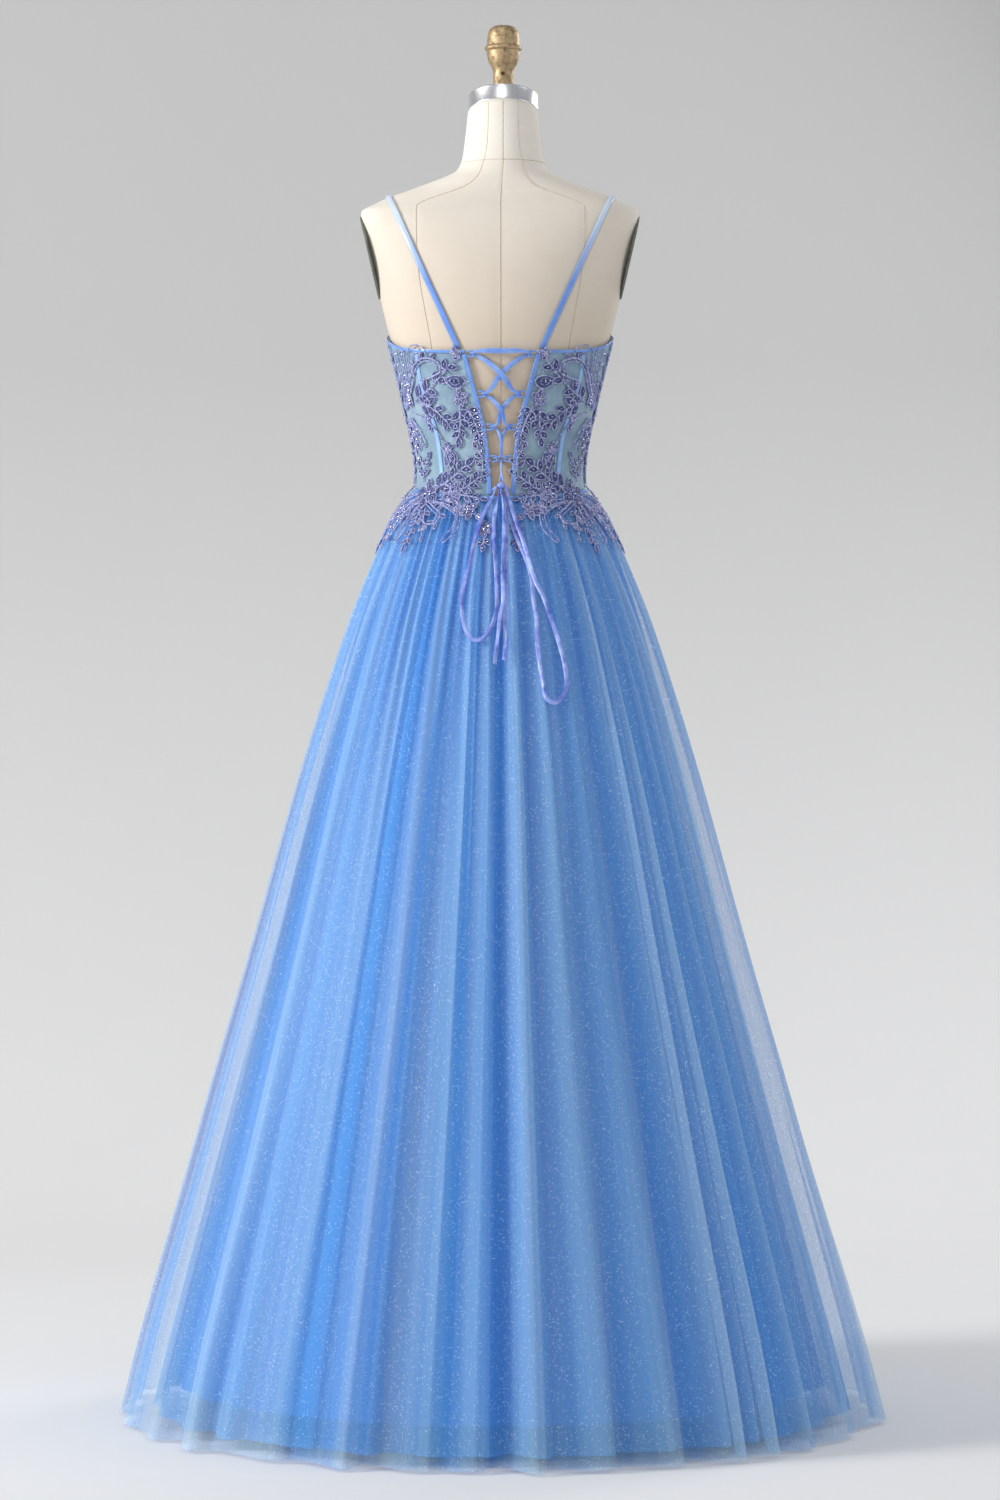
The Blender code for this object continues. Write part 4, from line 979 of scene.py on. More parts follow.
@dataclass(frozen=True)
class StageFinish(Finish):
    """The pale floor and backdrop, clear where it is seen from behind."""

    # floor and wall: one paper painted paler low down and darker up the wall, as painted light and shade
    floor: RGB = (0.84, 0.84, 0.84)
    wall: RGB = (0.59, 0.59, 0.585)
    faint: RGB = (0.5, 0.5, 0.52)

    def dress(self, paint: Paint, effects: Effects) -> None:
        """Painted paler on the floor and darker up the wall as painted light and shade, with faint broad
        patches.
        """
        # Paler on the floor, darker up the wall: painted light and shade
        shade = paint.blend(paint.ramp(paint.part(paint.place, 2), 0.0, 1.6), self.floor, self.wall)
        soft = paint.maths("MULTIPLY", paint.use(effects.wear, Scale=0.7, Cut=0.5)[0], 0.05)
        seen_from_behind = paint.add("NewGeometry").outputs["Backfacing"]
        paint.set(Base_Color=paint.blend(soft, shade, self.faint), Roughness=0.9,
                  Alpha=paint.total((seen_from_behind, -1.0), (1.0, 1.0)))


class Finishes:
    """Every material of the dress, its form and the studio, each kept by the name of its use."""

    def __init__(self) -> None:
        """Builds each finish once."""
        effects = Effects()
        recipes = {
            "outer_tulle": TulleFinish("tulle_outer", (0.48, 0.77, 1.0), (0.06, 0.32, 0.82), (0.27, 0.43)),
            "inner_tulle": TulleFinish("tulle_inner", (0.14, 0.49, 0.98), (0.015, 0.17, 0.68), (0.44, 0.7),
                                       0.12),
            "lining": LiningFinish("lining_blue"),
            "satin": SatinFinish("satin_trim", (0.2, 0.4, 0.88), (0.13, 0.29, 0.76), 0.35, 0.26),
            # The straps carry a painted highlight over the shoulders
            "strap": SatinFinish("satin_strap", (0.18, 0.36, 0.87), (0.13, 0.28, 0.78), 0.2, 0.26,
                                 highlight_from=1.405),
            "lacing": SatinFinish("satin_lacing", (0.28, 0.47, 0.95), (0.1, 0.24, 0.8), 0.4, 0.28),
            "casing": SatinFinish("casing_pale", (0.34, 0.56, 0.88), (0.22, 0.42, 0.78), 0.3, 0.5),
            "ribbon": SatinFinish("satin_ribbon", (0.4, 0.52, 0.98), (0.07, 0.13, 0.64), 0.9, 0.18, 55.0),
            "net": NetFinish("bodice_net"),
            "lace": ThreadFinish("lace_cord", (0.56, 0.59, 0.9), (0.12, 0.14, 0.42), 0.33),
            "lace_fill": ThreadFinish("lace_net_fill", (0.07, 0.1, 0.3), (0.02, 0.03, 0.13), 0.6),
            "stitch": ThreadFinish("sewing_thread", (0.3, 0.45, 0.86), (0.2, 0.32, 0.74)),
            "seam_thread": ThreadFinish("cover_thread", (0.8, 0.71, 0.59), (0.62, 0.53, 0.42), 0.8),
            "bead": BeadFinish("bead_silver"),
            "cover": CoverFinish("form_cover"),
            "alloy": MetalFinish("neck_alloy", (0.78, 0.79, 0.82), (0.6, 0.61, 0.64),
                                 (0.3, 0.42), 30.0, 0.6, dent=0.04),
            "brass": MetalFinish("knob_brass", (0.56, 0.41, 0.24), (0.27, 0.19, 0.11),
                                 (0.42, 0.7), 160.0, 0.54, 0.75, 0.5),
            "plate": MetalFinish("arm_plate_grey", (0.16, 0.18, 0.15), (0.1, 0.11, 0.09),
                                 (0.4, 0.6), 50.0, 0.55, 0.2),
            "iron": MetalFinish("base_iron", (0.05, 0.05, 0.055), (0.1, 0.09, 0.09),
                                 (0.4, 0.65), 40.0, 0.6, 0.6),
            "stage": StageFinish("studio_paper"),
        }
        for use, recipe in recipes.items():
            setattr(self, use, recipe.build(effects))


# Studio


@dataclass(frozen=True)
class SoftLight:
    """A round area light: its place, size, power, the height that it looks at and its colour."""

    name: str
    place: tuple[float, float, float]
    size: float
    power: float
    aim: float
    colour: RGB = (1.0, 1.0, 1.0)

    def build(self) -> None:
        """Makes the light."""
        data = bpy.data.lights.new(self.name, "AREA")
        data.shape, data.size, data.energy, data.color = "DISK", self.size, self.power, self.colour
        made = put(self.name, data)
        made.location = self.place
        towards = Vector((0, 0, self.aim)) - Vector(self.place)
        made.rotation_euler = towards.to_track_quat("-Z", "Y").to_euler()


@dataclass(frozen=True)
class Studio:
    """The camera at the photograph's place, the soft lights and the pale backdrop."""

    camera_at: tuple[float, float, float] = (0.0, 5.375, 0.8275)
    lens: float = 103.2
    sensor: float = 36.0
    floor_z: float = 0.0
    wall_y: float = -3.2
    bend: float = 1.6
    near_y: float = 7.0
    half_wide: float = 7.0
    tall: float = 6.0
    lights: tuple[SoftLight, ...] = (
        SoftLight("key", (4.1, 1.5, 2.3), 1.5, 168.0, 0.8, (1.0, 0.99, 0.97)),
        SoftLight("top", (0.3, 2.7, 4.2), 1.1, 26.0, 1.3),
        SoftLight("fill", (-3.9, 1.4, 1.7), 2.4, 22.0, 0.8, (0.94, 0.97, 1.0)),
        SoftLight("front", (0.2, 6.0, 2.1), 1.8, 6.0, 1.3),
        SoftLight("back", (-2.0, -2.2, 2.4), 1.4, 26.0, 1.0),
    )
    room_light: float = 0.38
    room_colour: RGB = (0.97, 0.98, 1.0)
    clear_layers: int = 32

    def build_camera(self) -> None:
        """Makes the camera, level and square to the dress's back."""
        data = bpy.data.cameras.new("camera")
        data.lens, data.sensor_width = self.lens, self.sensor
        made = put("camera", data)
        made.location = self.camera_at
        made.rotation_euler = (math.radians(90), 0, math.radians(180))
        bpy.context.scene.camera = made

    def build_lights(self) -> None:
        """Makes the soft lights and the even light of the room."""
        for light in self.lights:
            light.build()
        world = bpy.data.worlds.new("room")
        world.use_nodes = True
        back = world.node_tree.nodes["Background"]
        back.inputs[0].default_value = (*self.room_colour, 1.0)
        back.inputs[1].default_value = self.room_light
        bpy.context.scene.world = world
        bpy.context.scene.view_settings.view_transform = "Standard"
        bpy.context.scene.cycles.transparent_max_bounces = self.clear_layers

    def build_backdrop(self, finish: Material) -> None:
        """Makes one sheet of paper that is the floor and bends up into the wall."""
        bends = np.linspace(0, math.pi / 2, 13)
        back, up = self.bend * (1 - np.sin(bends)), self.bend * (1 - np.cos(bends))
        curved = np.column_stack((self.wall_y + back, self.floor_z + up))
        rows = np.concatenate((((self.near_y, self.floor_z),), curved, ((self.wall_y, self.tall),)))
        points = [np.insert(rows, 0, x, axis=1) for x in (-self.half_wide, self.half_wide)]
        mesh = bpy.data.meshes.new("backdrop")
        faces = grid_faces(2, len(rows))
        mesh.from_pydata(np.concatenate(points).tolist(), [], faces.tolist())
        if mesh.polygons[0].normal.z < 0:
            mesh.flip_normals()
        mesh.polygons.foreach_set("use_smooth", [True] * len(mesh.polygons))
        mesh.materials.append(finish)
        put("backdrop", mesh)


# Ribbons


@dataclass(frozen=True)
class Lacing:
    """The laced V of the back: loops on both edges, the ribbon through them, and its bow."""

    body: BodyShape
    skirt: SkirtShape
    # Height, reach of the loop's tip from the opening's centre, ribbon width below it
    levels: Array = sizes(
        (1.3145, 0.0322, 0.0056), (1.2655, 0.0192, 0.005), (1.2255, 0.0088, 0.004), (1.1865, 0.004, 0.0034),
    )
    loop_half: float = 0.0034
    loop_wide: float = 0.002
    loop_out: float = 0.0042
    loop_cut: RibbonCut = RibbonCut(thick=0.001)
    # The loop that slants to the knot: across, height, out
    last_loop: Array = sizes((0.0104, 1.1462, 0.005), (0.0083, 1.1478, 0.0068), (0.0058, 1.15, 0.0088))
    last_wide: float = 0.003
    ribbon_wide: float = 0.0054
    eye_wide: float = 0.0024
    looped_wide: float = 0.0034
    over_out: float = 0.0064
    under_out: float = 0.004
    bar_out: float = 0.0061
    # Share of its width when folded, what it gains when open, and the heights between which it opens
    folding: tuple[float, ...] = (0.64, 0.48, 1.165, 1.275)
    last_cross_z: float = 1.169
    knot_z: float = 1.151
    knot_out: float = 0.0105
    knot_size: tuple[float, float, float] = (0.0054, 0.0052, 0.005)
    cap_z: float = 1.1396
    # Bow: across and up from the knot, then height over the skirt, in millimetres
    loop_left: Array = sizes(
        (5.5, -2.2, 6.3), (9.0, -11.0, 6.5), (16.2, -26.6, 6.5), (23.5, -41.8, 6.5), (32.0, -73.4, 6.5),
        (37.4, -99.7, 6.5), (42.8, -119.5, 6.5), (46.4, -139.2, 6.2), (45.7, -162.5, 5.8),
        (40.2, -183.3, 4.6), (31.7, -192.5, 4.8), (22.6, -190.7, 4.6), (13.6, -179.7, 4.6),
        (7.5, -165.0, 4.3), (5.0, -146.6, 4.3), (5.5, -119.5, 4.3), (7.0, -92.2, 4.3), (8.8, -64.6, 4.3),
        (8.0, -35.5, 4.3), (4.8, -16.0, 4.3), (2.6, -5.6, 4.3),
    )
    loop_right: Array = sizes(
        (-5.6, -2.2, 6.5), (-8.9, -14.0, 6.5), (-14.0, -34.2, 6.5), (-20.5, -54.5, 6.5),
        (-27.8, -77.2, 6.5), (-35.0, -104.7, 6.5), (-41.5, -123.2, 6.5), (-49.4, -139.2, 6.5),
        (-57.8, -163.8, 6.2), (-67.3, -191.9, 5.2), (-74.4, -221.1, 5.8), (-77.3, -245.3, 5.2),
        (-73.0, -259.8, 4.6), (-62.7, -268.3, 4.8), (-53.7, -263.5, 4.6), (-49.0, -245.3, 4.6),
        (-45.5, -221.1, 4.3), (-42.6, -193.1, 4.3), (-42.0, -163.8, 4.3), (-38.5, -141.7, 4.3),
        (-35.5, -112.1, 4.3), (-27.8, -87.0, 4.3), (-16.8, -61.0, 4.3), (-8.5, -31.7, 4.3),
        (-4.6, -14.0, 4.3), (-2.4, -5.6, 4.3),
    )
    tail_long: Array = sizes(
        (0.5, -5.3, 7.4), (-2.8, -35.5, 9.2), (-3.4, -67.1, 9.2), (-2.1, -112.1, 9.0), (-2.1, -145.3, 8.8),
        (1.5, -165.0, 8.6), (4.5, -190.7, 8.6), (7.5, -223.5, 8.6),
    )
    tail_short: Array = sizes(
        (-1.8, -5.6, 5.6), (-3.4, -25.0, 6.5), (-4.6, -50.0, 6.5), (-5.2, -92.2, 6.5), (-4.3, -141.7, 6.5),
        (-4.0, -166.2, 6.5), (-4.6, -185.8, 6.5), (-3.0, -217.4, 6.5),
    )

    def edge(self, height: float) -> float:
        """Distance across of the opening's edge at a height."""
        top = self.body.top_height(0.2)
        share = (top - height) / (top - self.body.waist_height(0.0))
        return float(curve(np.array([share]), self.body.v_edge)[0])

    def threading(self, level: int, side: int) -> list[tuple[float, float, float]]:
        """Route round one loop's tip (across, height, out): in over it, back under it."""
        height, reach, _ = self.levels[level]
        steps = (
            (-0.003, 2.6, 5.9), (0.0008, 1.5, 6.1), (0.0036, 0.8, 5.3), (0.0043, 0.0, 4.2),
            (0.0036, -0.8, 3.1), (0.0008, -1.5, 2.3), (-0.003, -2.6, 2.5),
        )
        return [(side * (reach + across), height + up / 1000, out / 1000) for across, up, out in steps]

    def half_route(self, side: int) -> tuple[list, list]:
        """One end of the ribbon from the top bar to the knot, with its widths.

        Args:
            side: The side of its first loop, 1 or -1.

        Returns:
            The route's points (across, height, out) and the ribbon's width at each.
        """
        route, widths = [], []
        for level, (height, _, width) in enumerate(self.levels):
            route.extend(self.threading(level, side))
            narrow = min(width, self.looped_wide)
            widths.extend([narrow] + [self.eye_wide] * 5 + [narrow])
            last = level + 1 == len(self.levels)
            middle = self.last_cross_z if last else (height + self.levels[level + 1][0]) / 2
            route.append((0.0, middle, self.over_out if side > 0 else self.under_out))
            widths.append(width)
            side = -side
        route.append((side * 0.0021, self.knot_z + 0.0056, 0.0092))
        widths.append(self.eye_wide)
        return route, widths

    def build_ribbon(self, finish: Material) -> None:
        """The lacing ribbon: up from the knot, across the top bar and down again."""
        left, left_widths = self.half_route(1)
        right, right_widths = self.half_route(-1)
        bar = (0.0, self.levels[0][0] + 0.003, self.bar_out)
        route = np.array(left[::-1] + [bar] + right)
        widths = np.array(left_widths[::-1] + [self.ribbon_wide] + right_widths)
        both = along(np.column_stack((route, widths)), 420)
        across, height, out, wide = both.T
        points, normals = self.body.back_point(BACK_SHIFT + across, height, out)
        cut = RibbonCut(thick=0.0007, crown=0.0003, buckle=0.00015, seed=3)
        folded, opened, low, high = self.folding
        wide = wide * (folded + opened * step_up(height, low, high))
        made = ribbon("lacing_ribbon_satin", points, normals, wide, cut, finish, "ribbon", "lacing_ribbon")
        self.declare(made, points, "object", "taut")

    def build_loops(self, finish: Material) -> None:
        """The thin loops on both edges, and the two that slant to the knot."""
        for side, word in SIDES:
            for level, (height, reach, _) in enumerate(self.levels):
                edge = self.edge(height - self.loop_half - self.loop_wide / 2) - 0.0012
                mid = reach + self.loop_wide / 2
                turn_in = self.loop_half * 0.45
                legs = np.array((
                    (edge, self.loop_half), (mid + turn_in, self.loop_half),
                    (mid + 0.0003, self.loop_half - turn_in * 0.8), (mid, 0.0),
                    (mid + 0.0003, turn_in * 0.8 - self.loop_half), (mid + turn_in, -self.loop_half),
                    (edge, -self.loop_half),
                ))
                legs = along(legs, 36)
                points, normals = self.body.back_point(
                    BACK_SHIFT + side * legs[:, 0], height + legs[:, 1], self.loop_out + 0 * legs[:, 0])
                name = f"lacing_loop_{word}_{level + 1}"
                ribbon("satin_" + name, points, normals, self.loop_wide, self.loop_cut, finish, "satin", name)
            across, height, out = along(self.last_loop, 12).T
            points, normals = self.body.back_point(BACK_SHIFT + side * across, height, out)
            name = f"lacing_loop_{word}_5"
            ribbon("satin_" + name, points, normals, self.last_wide, self.loop_cut, finish, "satin", name)

    def strand(self, rows: Array, widths: Array, count: int) -> tuple[Array, Array, Array]:
        """A bow strand's points, normals and widths over the skirt, by its table."""
        both = along(np.column_stack((rows / 1000, widths)), count)
        points, normals = [], []
        for across, up, out, _ in both:
            level = min(self.knot_z + up, self.cap_z)
            point, normal = self.skirt.back_face(BACK_SHIFT + across, level, out)
            point[2] += self.knot_z + up - level
            points.append(point)
            normals.append(normal)
        return np.array(points), np.array(normals), both[:, 3]

    def end_widths(self, count: int, both: bool) -> Array:
        """Widths that narrow where the ribbon goes into the knot."""
        widths = np.full(count, self.ribbon_wide)
        widths[:2] = (0.0022, 0.0034)
        if both:
            widths[-2:] = (0.0036, 0.0024)
        return widths

    @staticmethod
    def declare(made: Piece, points: Array, far_end: str, lay: str) -> None:
        """Does nothing with the ribbon."""

    def build_bow(self, finish: Material) -> None:
        """Two loops, two tails and the knot."""
        strands = (
            ("bow_loop_left", self.loop_left, True, 0.35, 150),
            ("bow_loop_right", self.loop_right, True, 0.4, 190),
            ("bow_tail_long", self.tail_long, False, 0.5, 90),
            ("bow_tail_short", self.tail_short, False, 0.45, 90),
        )
        for seed, (name, rows, loops, twist, count) in enumerate(strands, 21):
            points, normals, widths = self.strand(rows, self.end_widths(len(rows), loops), count)
            cut = RibbonCut(thick=0.0006, crown=0.0009, twist=twist, buckle=0.0005, seed=seed)
            made = ribbon("satin_" + name, points, normals, widths, cut, finish, "ribbon", name)
            self.declare(made, points, "object" if loops else "bare", "hanging")
        self.build_knot(finish)

    def build_knot(self, finish: Material) -> None:
        """The small wrapped knot, with the folds of the ribbon round it."""
        middle, _ = self.body.back_point(np.array(BACK_SHIFT), np.array(self.knot_z), np.array(self.knot_out))
        tips = np.linspace(-0.97, 0.97, 21)
        angle = circle(40)
        rings = []
        for tip in tips:
            folds = 1 + 0.06 * np.cos(3 * angle + 2.0 * tip) + 0.03 * np.cos(11 * angle)
            size = math.sqrt(1 - tip * tip) * folds
            x, z = self.knot_size[0] * size * np.cos(angle), self.knot_size[1] * size * np.sin(angle)
            rings.append(middle + np.stack((x, tip * self.knot_size[2] + 0 * angle, z), axis=-1))
        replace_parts(shell("satin_bow_knot", np.array(rings), finish, "ribbon"), "bow_knot")


# Skirt


@dataclass(frozen=True)
class SkirtLayer:
    """One layer of the skirt as a thin sheet with folds, gathers and creases."""

    name: str
    shape: SkirtShape
    rows: Array
    out: float
    columns: int
    levels: int
    fold_share: float
    lean_share: float
    gather: float
    crease: float
    hem_fall: float
    seed: int
    flat: tuple[float, float]
    area: float
    turned: float = 0.0
    swing_seed: int = 31
    # The folds at the centre back are always deep
    centre_wide: float = 0.14
    centre_swing: float = 1.3
    fray: float = 0.0009

    def falls(self) -> Array:
        """Falls of the rows, closer together at the gathered waist."""
        share = np.linspace(0, 1, self.levels)
        return (0.35 * share + 0.65 * share**1.7) * self.hem_fall

    def build(self, finish: Material, slot: str, nodes: Sequence[str]) -> Piece:
        """Args:
            finish: The layer's material.
            slot: Passed on, but not used.
            nodes: The solids that it stands for.

        Returns:
            The piece.
        """
        turn = circle(self.columns)[None, :] - math.pi
        fall = self.falls()[:, None]
        wave, crest, reach = self.shape.fold_parts(turn + self.turned)
        open_share = step_up(fall, 0.02, 0.35)
        swing = np.clip(0.8 + 0.3 * ripples(turn, 2.2 * fall, 5, 15, 5, self.swing_seed), 0.25, 1.25)
        centre_back = np.exp(-((turn + self.turned) / self.centre_wide) ** 2)
        swing = swing * (1 - centre_back) + self.centre_swing * centre_back
        shifted = turn - self.lean_share * reach * crest * open_share * swing
        folds = self.fold_share * wave * self.shape.depth(fall) * swing
        near_waist = step_up(fall, 0.0, WAIST_FALL) * (1 - 0.85 * step_up(fall, 0.1, 0.6))
        gathers = ripples(turn, 2 * fall, 52, 92, 7, self.seed)
        creases = ripples(turn, 3 * fall, 28, 64, 6, self.seed + 1)
        folds = folds + self.gather * gathers * near_waist
        folds = folds + self.crease * creases * step_up(fall, 0.1, 0.8)
        points = self.shape.points(shifted, fall, self.rows, self.out, folds)
        frayed = ripples(turn, 0 * turn, 20, 160, 12, self.seed + 2) * self.fray
        points[-1, :, 2] += np.abs(frayed[0])
        faces = grid_faces(self.levels, self.columns, True)[:, ::-1]
        # The fold coordinates carry each fold's crest, by which the finishes paint ridges paler and valleys
        # deeper: painted light and shade
        ridge = np.stack((crest * np.minimum(swing, 1) / 2 + 0.5, fall + 0 * crest), axis=-1).reshape(-1, 2)
        uvs = {"cloth": grid_uvs(self.levels, self.columns, True, *self.flat)[:, ::-1], "fold": ridge[faces]}
        made = new_piece(self.name, points, faces, finish, slot, uvs=uvs)
        if nodes:
            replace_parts(made, *nodes)
        return made


@dataclass(frozen=True)
class Skirt:
    """The skirt: glitter tulle over softer tulle over an opaque lining."""

    shape: SkirtShape
    gores: int = 8
    under_gores: int = 6
    # Shares of the lining's and the outer tulle's shapes in the inner tulle's, and its gap to the outer one
    middle_parts: tuple[float, float] = (0.66, 0.34)
    middle_gap: float = 0.0009

    def build(self, finishes: Finishes) -> None:
        """Makes the three layers."""
        falls = self.shape.outer[:, 0]
        under_part, outer_part = self.middle_parts
        columns = [
            under_part * curve(falls, self.shape.under, number)
            + outer_part * curve(falls, self.shape.outer, number)
            for number in (1, 2)
        ]
        middle = np.column_stack([falls, *columns])
        outer = SkirtLayer("skirt_tulle", self.shape, self.shape.outer, SKIRT_OUT, columns=960, levels=84,
                           fold_share=1.0, lean_share=1.0, gather=1.5, crease=0.6, hem_fall=1.0, seed=5,
                           flat=(3.7, 1.21), area=2.75)
        outer.build(finishes.outer_tulle, "tulle", [f"skirt_gore_{n}" for n in range(1, self.gores + 1)])
        inner = SkirtLayer("skirt_tulle_inner", self.shape, middle, SKIRT_OUT - self.middle_gap, columns=840,
                           levels=64, fold_share=0.85, lean_share=1.0, gather=0.9, crease=0.6, hem_fall=0.992,
                           seed=9, flat=(3.4, 1.2), area=2.5, turned=math.radians(1.6))
        inner.build(finishes.inner_tulle, "tulle", [])
        lining = SkirtLayer("skirt_lining", self.shape, self.shape.under, UNDER_OUT, columns=600, levels=56,
                            fold_share=0.62, lean_share=0.6, gather=0.25, crease=0.5, hem_fall=0.965, seed=13,
                            flat=(2.9, 1.16), area=2.1, turned=math.radians(0.6))
        under = [f"underskirt_gore_{n}" for n in range(1, self.under_gores + 1)]
        lining.build(finishes.lining, "underskirt", under)


# Bodice


@dataclass(frozen=True)
class Bodice:
    """The boned net bodice with its satin bindings, plackets, casings and straps."""

    body: BodyShape
    back_seam: Array = sizes((0, 0.104), (0.23, 0.098), (0.43, 0.0872), (0.61, 0.0775), (1, 0.07))
    front_seam: Array = sizes((0, 0.085), (0.25, 0.079), (0.5, 0.064), (0.75, 0.054), (1, 0.05))
    net_out: float = 0.0029
    placket_wide: float = 0.0056
    binding_wide: float = 0.0038
    casing_wide: float = 0.0062
    casing_out: float = 0.0036
    strap_wide: float = 0.0066
    strap_out: float = 0.002
    # Each strap's distance across at its end, what that gains to the shoulder, height and rise
    strap_back: tuple[float, ...] = (0.051, 0.089, 1.3215, 0.1958)
    strap_front: tuple[float, ...] = (0.087, 0.053, 1.374, 0.1433)
    stitch_pitch: float = 0.0032
    stitch_half: float = 0.00028

    def seam(self, name: str, side: int, share: Array) -> Array:
        """Turns of a named seam on one side."""
        if name == "side":
            return side * math.pi / 2 + 0 * share
        rows = {"v": self.body.v_edge, "back": self.back_seam, "front": self.front_seam}[name]
        shift = BACK_SHIFT if name == "v" else 0.0
        return self.body.seam_turn(rows, share, name != "front", shift, side)

    def build_panel(self, name: str, left: Array, right: Array, finish: Material,
                    flat: tuple[float, float]) -> None:
        """One net panel between two seams, with faint pulls in the net.

        Args:
            name: The panel's node.
            left: Turns of its first seam, one for each row.
            right: Turns of its second seam.
            finish: The net's material.
            flat: Width and length that it was cut to.
        """
        rows, columns = len(left), 26
        share = np.linspace(0, 1, rows)[:, None] * np.ones((1, columns))
        turn = left[:, None] + (right - left)[:, None] * np.linspace(0, 1, columns)[None, :]
        height = self.body.share_height(turn, share)
        pulls = 0.00022 * ripples(9 * turn, 14 * height, 2, 6, 5, len(name))
        points = self.body.points(turn, height, self.net_out + pulls)
        faces = grid_faces(rows, columns)[:, ::-1]
        uvs = {"cloth": grid_uvs(rows, columns, False, *flat)[:, ::-1]}
        made = new_piece("net_" + name, points, faces, finish, "bodice_mesh", uvs=uvs)
        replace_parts(made, name)

    def build_net(self, finish: Material) -> None:
        """The seven panels."""
        share = np.linspace(0, 1, 52)
        for side, word in SIDES:
            seams = [self.seam(name, side, share) for name in ("v", "back", "side", "front")]
            names = (f"bodice_back_{word}", f"bodice_side_back_{word}", f"bodice_side_front_{word}")
            flats = ((0.08, 0.19), (0.08, 0.205), (0.11, 0.24))
            for name, first, second, flat in zip(names, seams[:-1], seams[1:], flats):
                ends = (first, second) if side > 0 else (second, first)
                self.build_panel(name, *ends, finish, flat)
        far = math.tau + self.seam("front", -1, share)
        self.build_panel("bodice_centre_front", self.seam("front", 1, share), far, finish, (0.19, 0.24))

    def trim(self, name: str, turn: Array, height: Array, width: float, finish: Material,
             out: float = TRIM_OUT) -> list[Array]:
        """A satin strip along turns and heights, and its rows of stitches."""
        points = self.body.points(turn, height, out)
        normals = self.body.normals(turn, height)
        cut = RibbonCut(thick=0.0009, crown=0.0003, buckle=0.0001, seed=len(name))
        ribbon("satin_" + name, points, normals, width, cut, finish, "satin", name)
        sides, lifts = cut.frames(points, normals)
        lifted = points + lifts * 0.00055
        return [lifted + sides * edge * (width / 2 - 0.0008) for edge in (-1, 1)]

    def stitches(self, routes: list[Array], name: str, finishes: Finishes) -> None:
        """Short raised stitches along the routes, in one mesh."""
        points = []
        for route in routes:
            count = max(2, int(float(steps_of(route).sum()) / self.stitch_pitch))
            spots = along(route, 3 * count)
            for tail, head in zip(spots[::3], spots[2::3]):
                mid = (tail + head) / 2
                out = unit(mid * np.array((1, 1, 0)))
                side, lift = (way * self.stitch_half for way in (unit(np.cross(head - tail, out)), out))
                points.append((tail, mid + lift + side, mid + 2 * lift, mid + lift - side, head))
        faces = np.array(((0, 1, 2), (0, 2, 3), (0, 3, 1), (4, 2, 1), (4, 3, 2), (4, 1, 3)))
        faces = (5 * np.arange(len(points)))[:, None, None] + faces
        new_piece(name, np.array(points), faces.reshape(-1, 3), finishes.stitch, "satin", smooth=False)

    def build_trims(self, finishes: Finishes) -> None:
        """Bindings, plackets and casings with their stitching."""
        sewn: list[Array] = []
        for side, word in SIDES:
            edge = self.body.seam_turn(self.body.v_edge, np.array([0.02]), True, BACK_SHIFT, side)[0]
            turn = np.linspace(edge + side * 0.002, side * (math.pi - 0.005), 120)
            height = self.body.top_height(turn) - self.binding_wide / 2
            sewn += self.trim(f"top_binding_{word}", turn, height, self.binding_wide, finishes.satin)[:1]
            share = np.linspace(0.032, 0.992, 70)
            shift = BACK_SHIFT + side * self.placket_wide / 2
            turn = self.body.seam_turn(self.body.v_edge, share, True, shift, side)
            height = self.body.share_height(turn, share)
            sewn += self.trim(f"placket_{word}", turn, height, self.placket_wide, finishes.satin)
            for place in ("back", "side", "front"):
                share = np.linspace(0.035, 0.992, 70)
                turn = self.seam(place, side, share)
                height = self.body.share_height(turn, share)
                name = f"boning_casing_{place}_{word}"
                sewn += self.trim(name, turn, height, self.casing_wide, finishes.casing, self.casing_out)
        self.stitches(sewn, "trim_stitches", finishes)

    def build_straps(self, finishes: Finishes) -> None:
        """Each strap from the back binding over the shoulder to the front's peak."""
        rise = np.sin(np.linspace(0, math.pi / 2, 44))
        for side, word in SIDES:
            points, normals = [], []
            parts = (self.strap_back, True, rise), (self.strap_front, False, rise[-2::-1])
            for row, is_back, shares in parts:
                for share in shares:
                    across, height = row[0] + row[1] * share, row[2] + row[3] * share
                    turn = self.body.turn_of(np.array(side * across), np.array(height), is_back)
                    normals.append(self.body.normals(turn, height))
                    points.append(self.body.points(turn, height) + normals[-1] * self.strap_out)
            cut = RibbonCut(thick=0.0012, crown=0.0004, buckle=0.0001, seed=5)
            ribbon(f"satin_strap_{word}", np.array(points), np.array(normals), self.strap_wide, cut,
                   finishes.strap, "satin", f"strap_{word}")


# Lace


class Motif(Enum):
    """Kinds of motif that the lace is made of."""

    STEM = "stem"
    FROND = "frond"
    SCROLL = "scroll"
    BLOOM = "bloom"
    EYE = "eye"
    BUD = "bud"


STEM, FROND, SCROLL, BLOOM, EYE, BUD = Motif


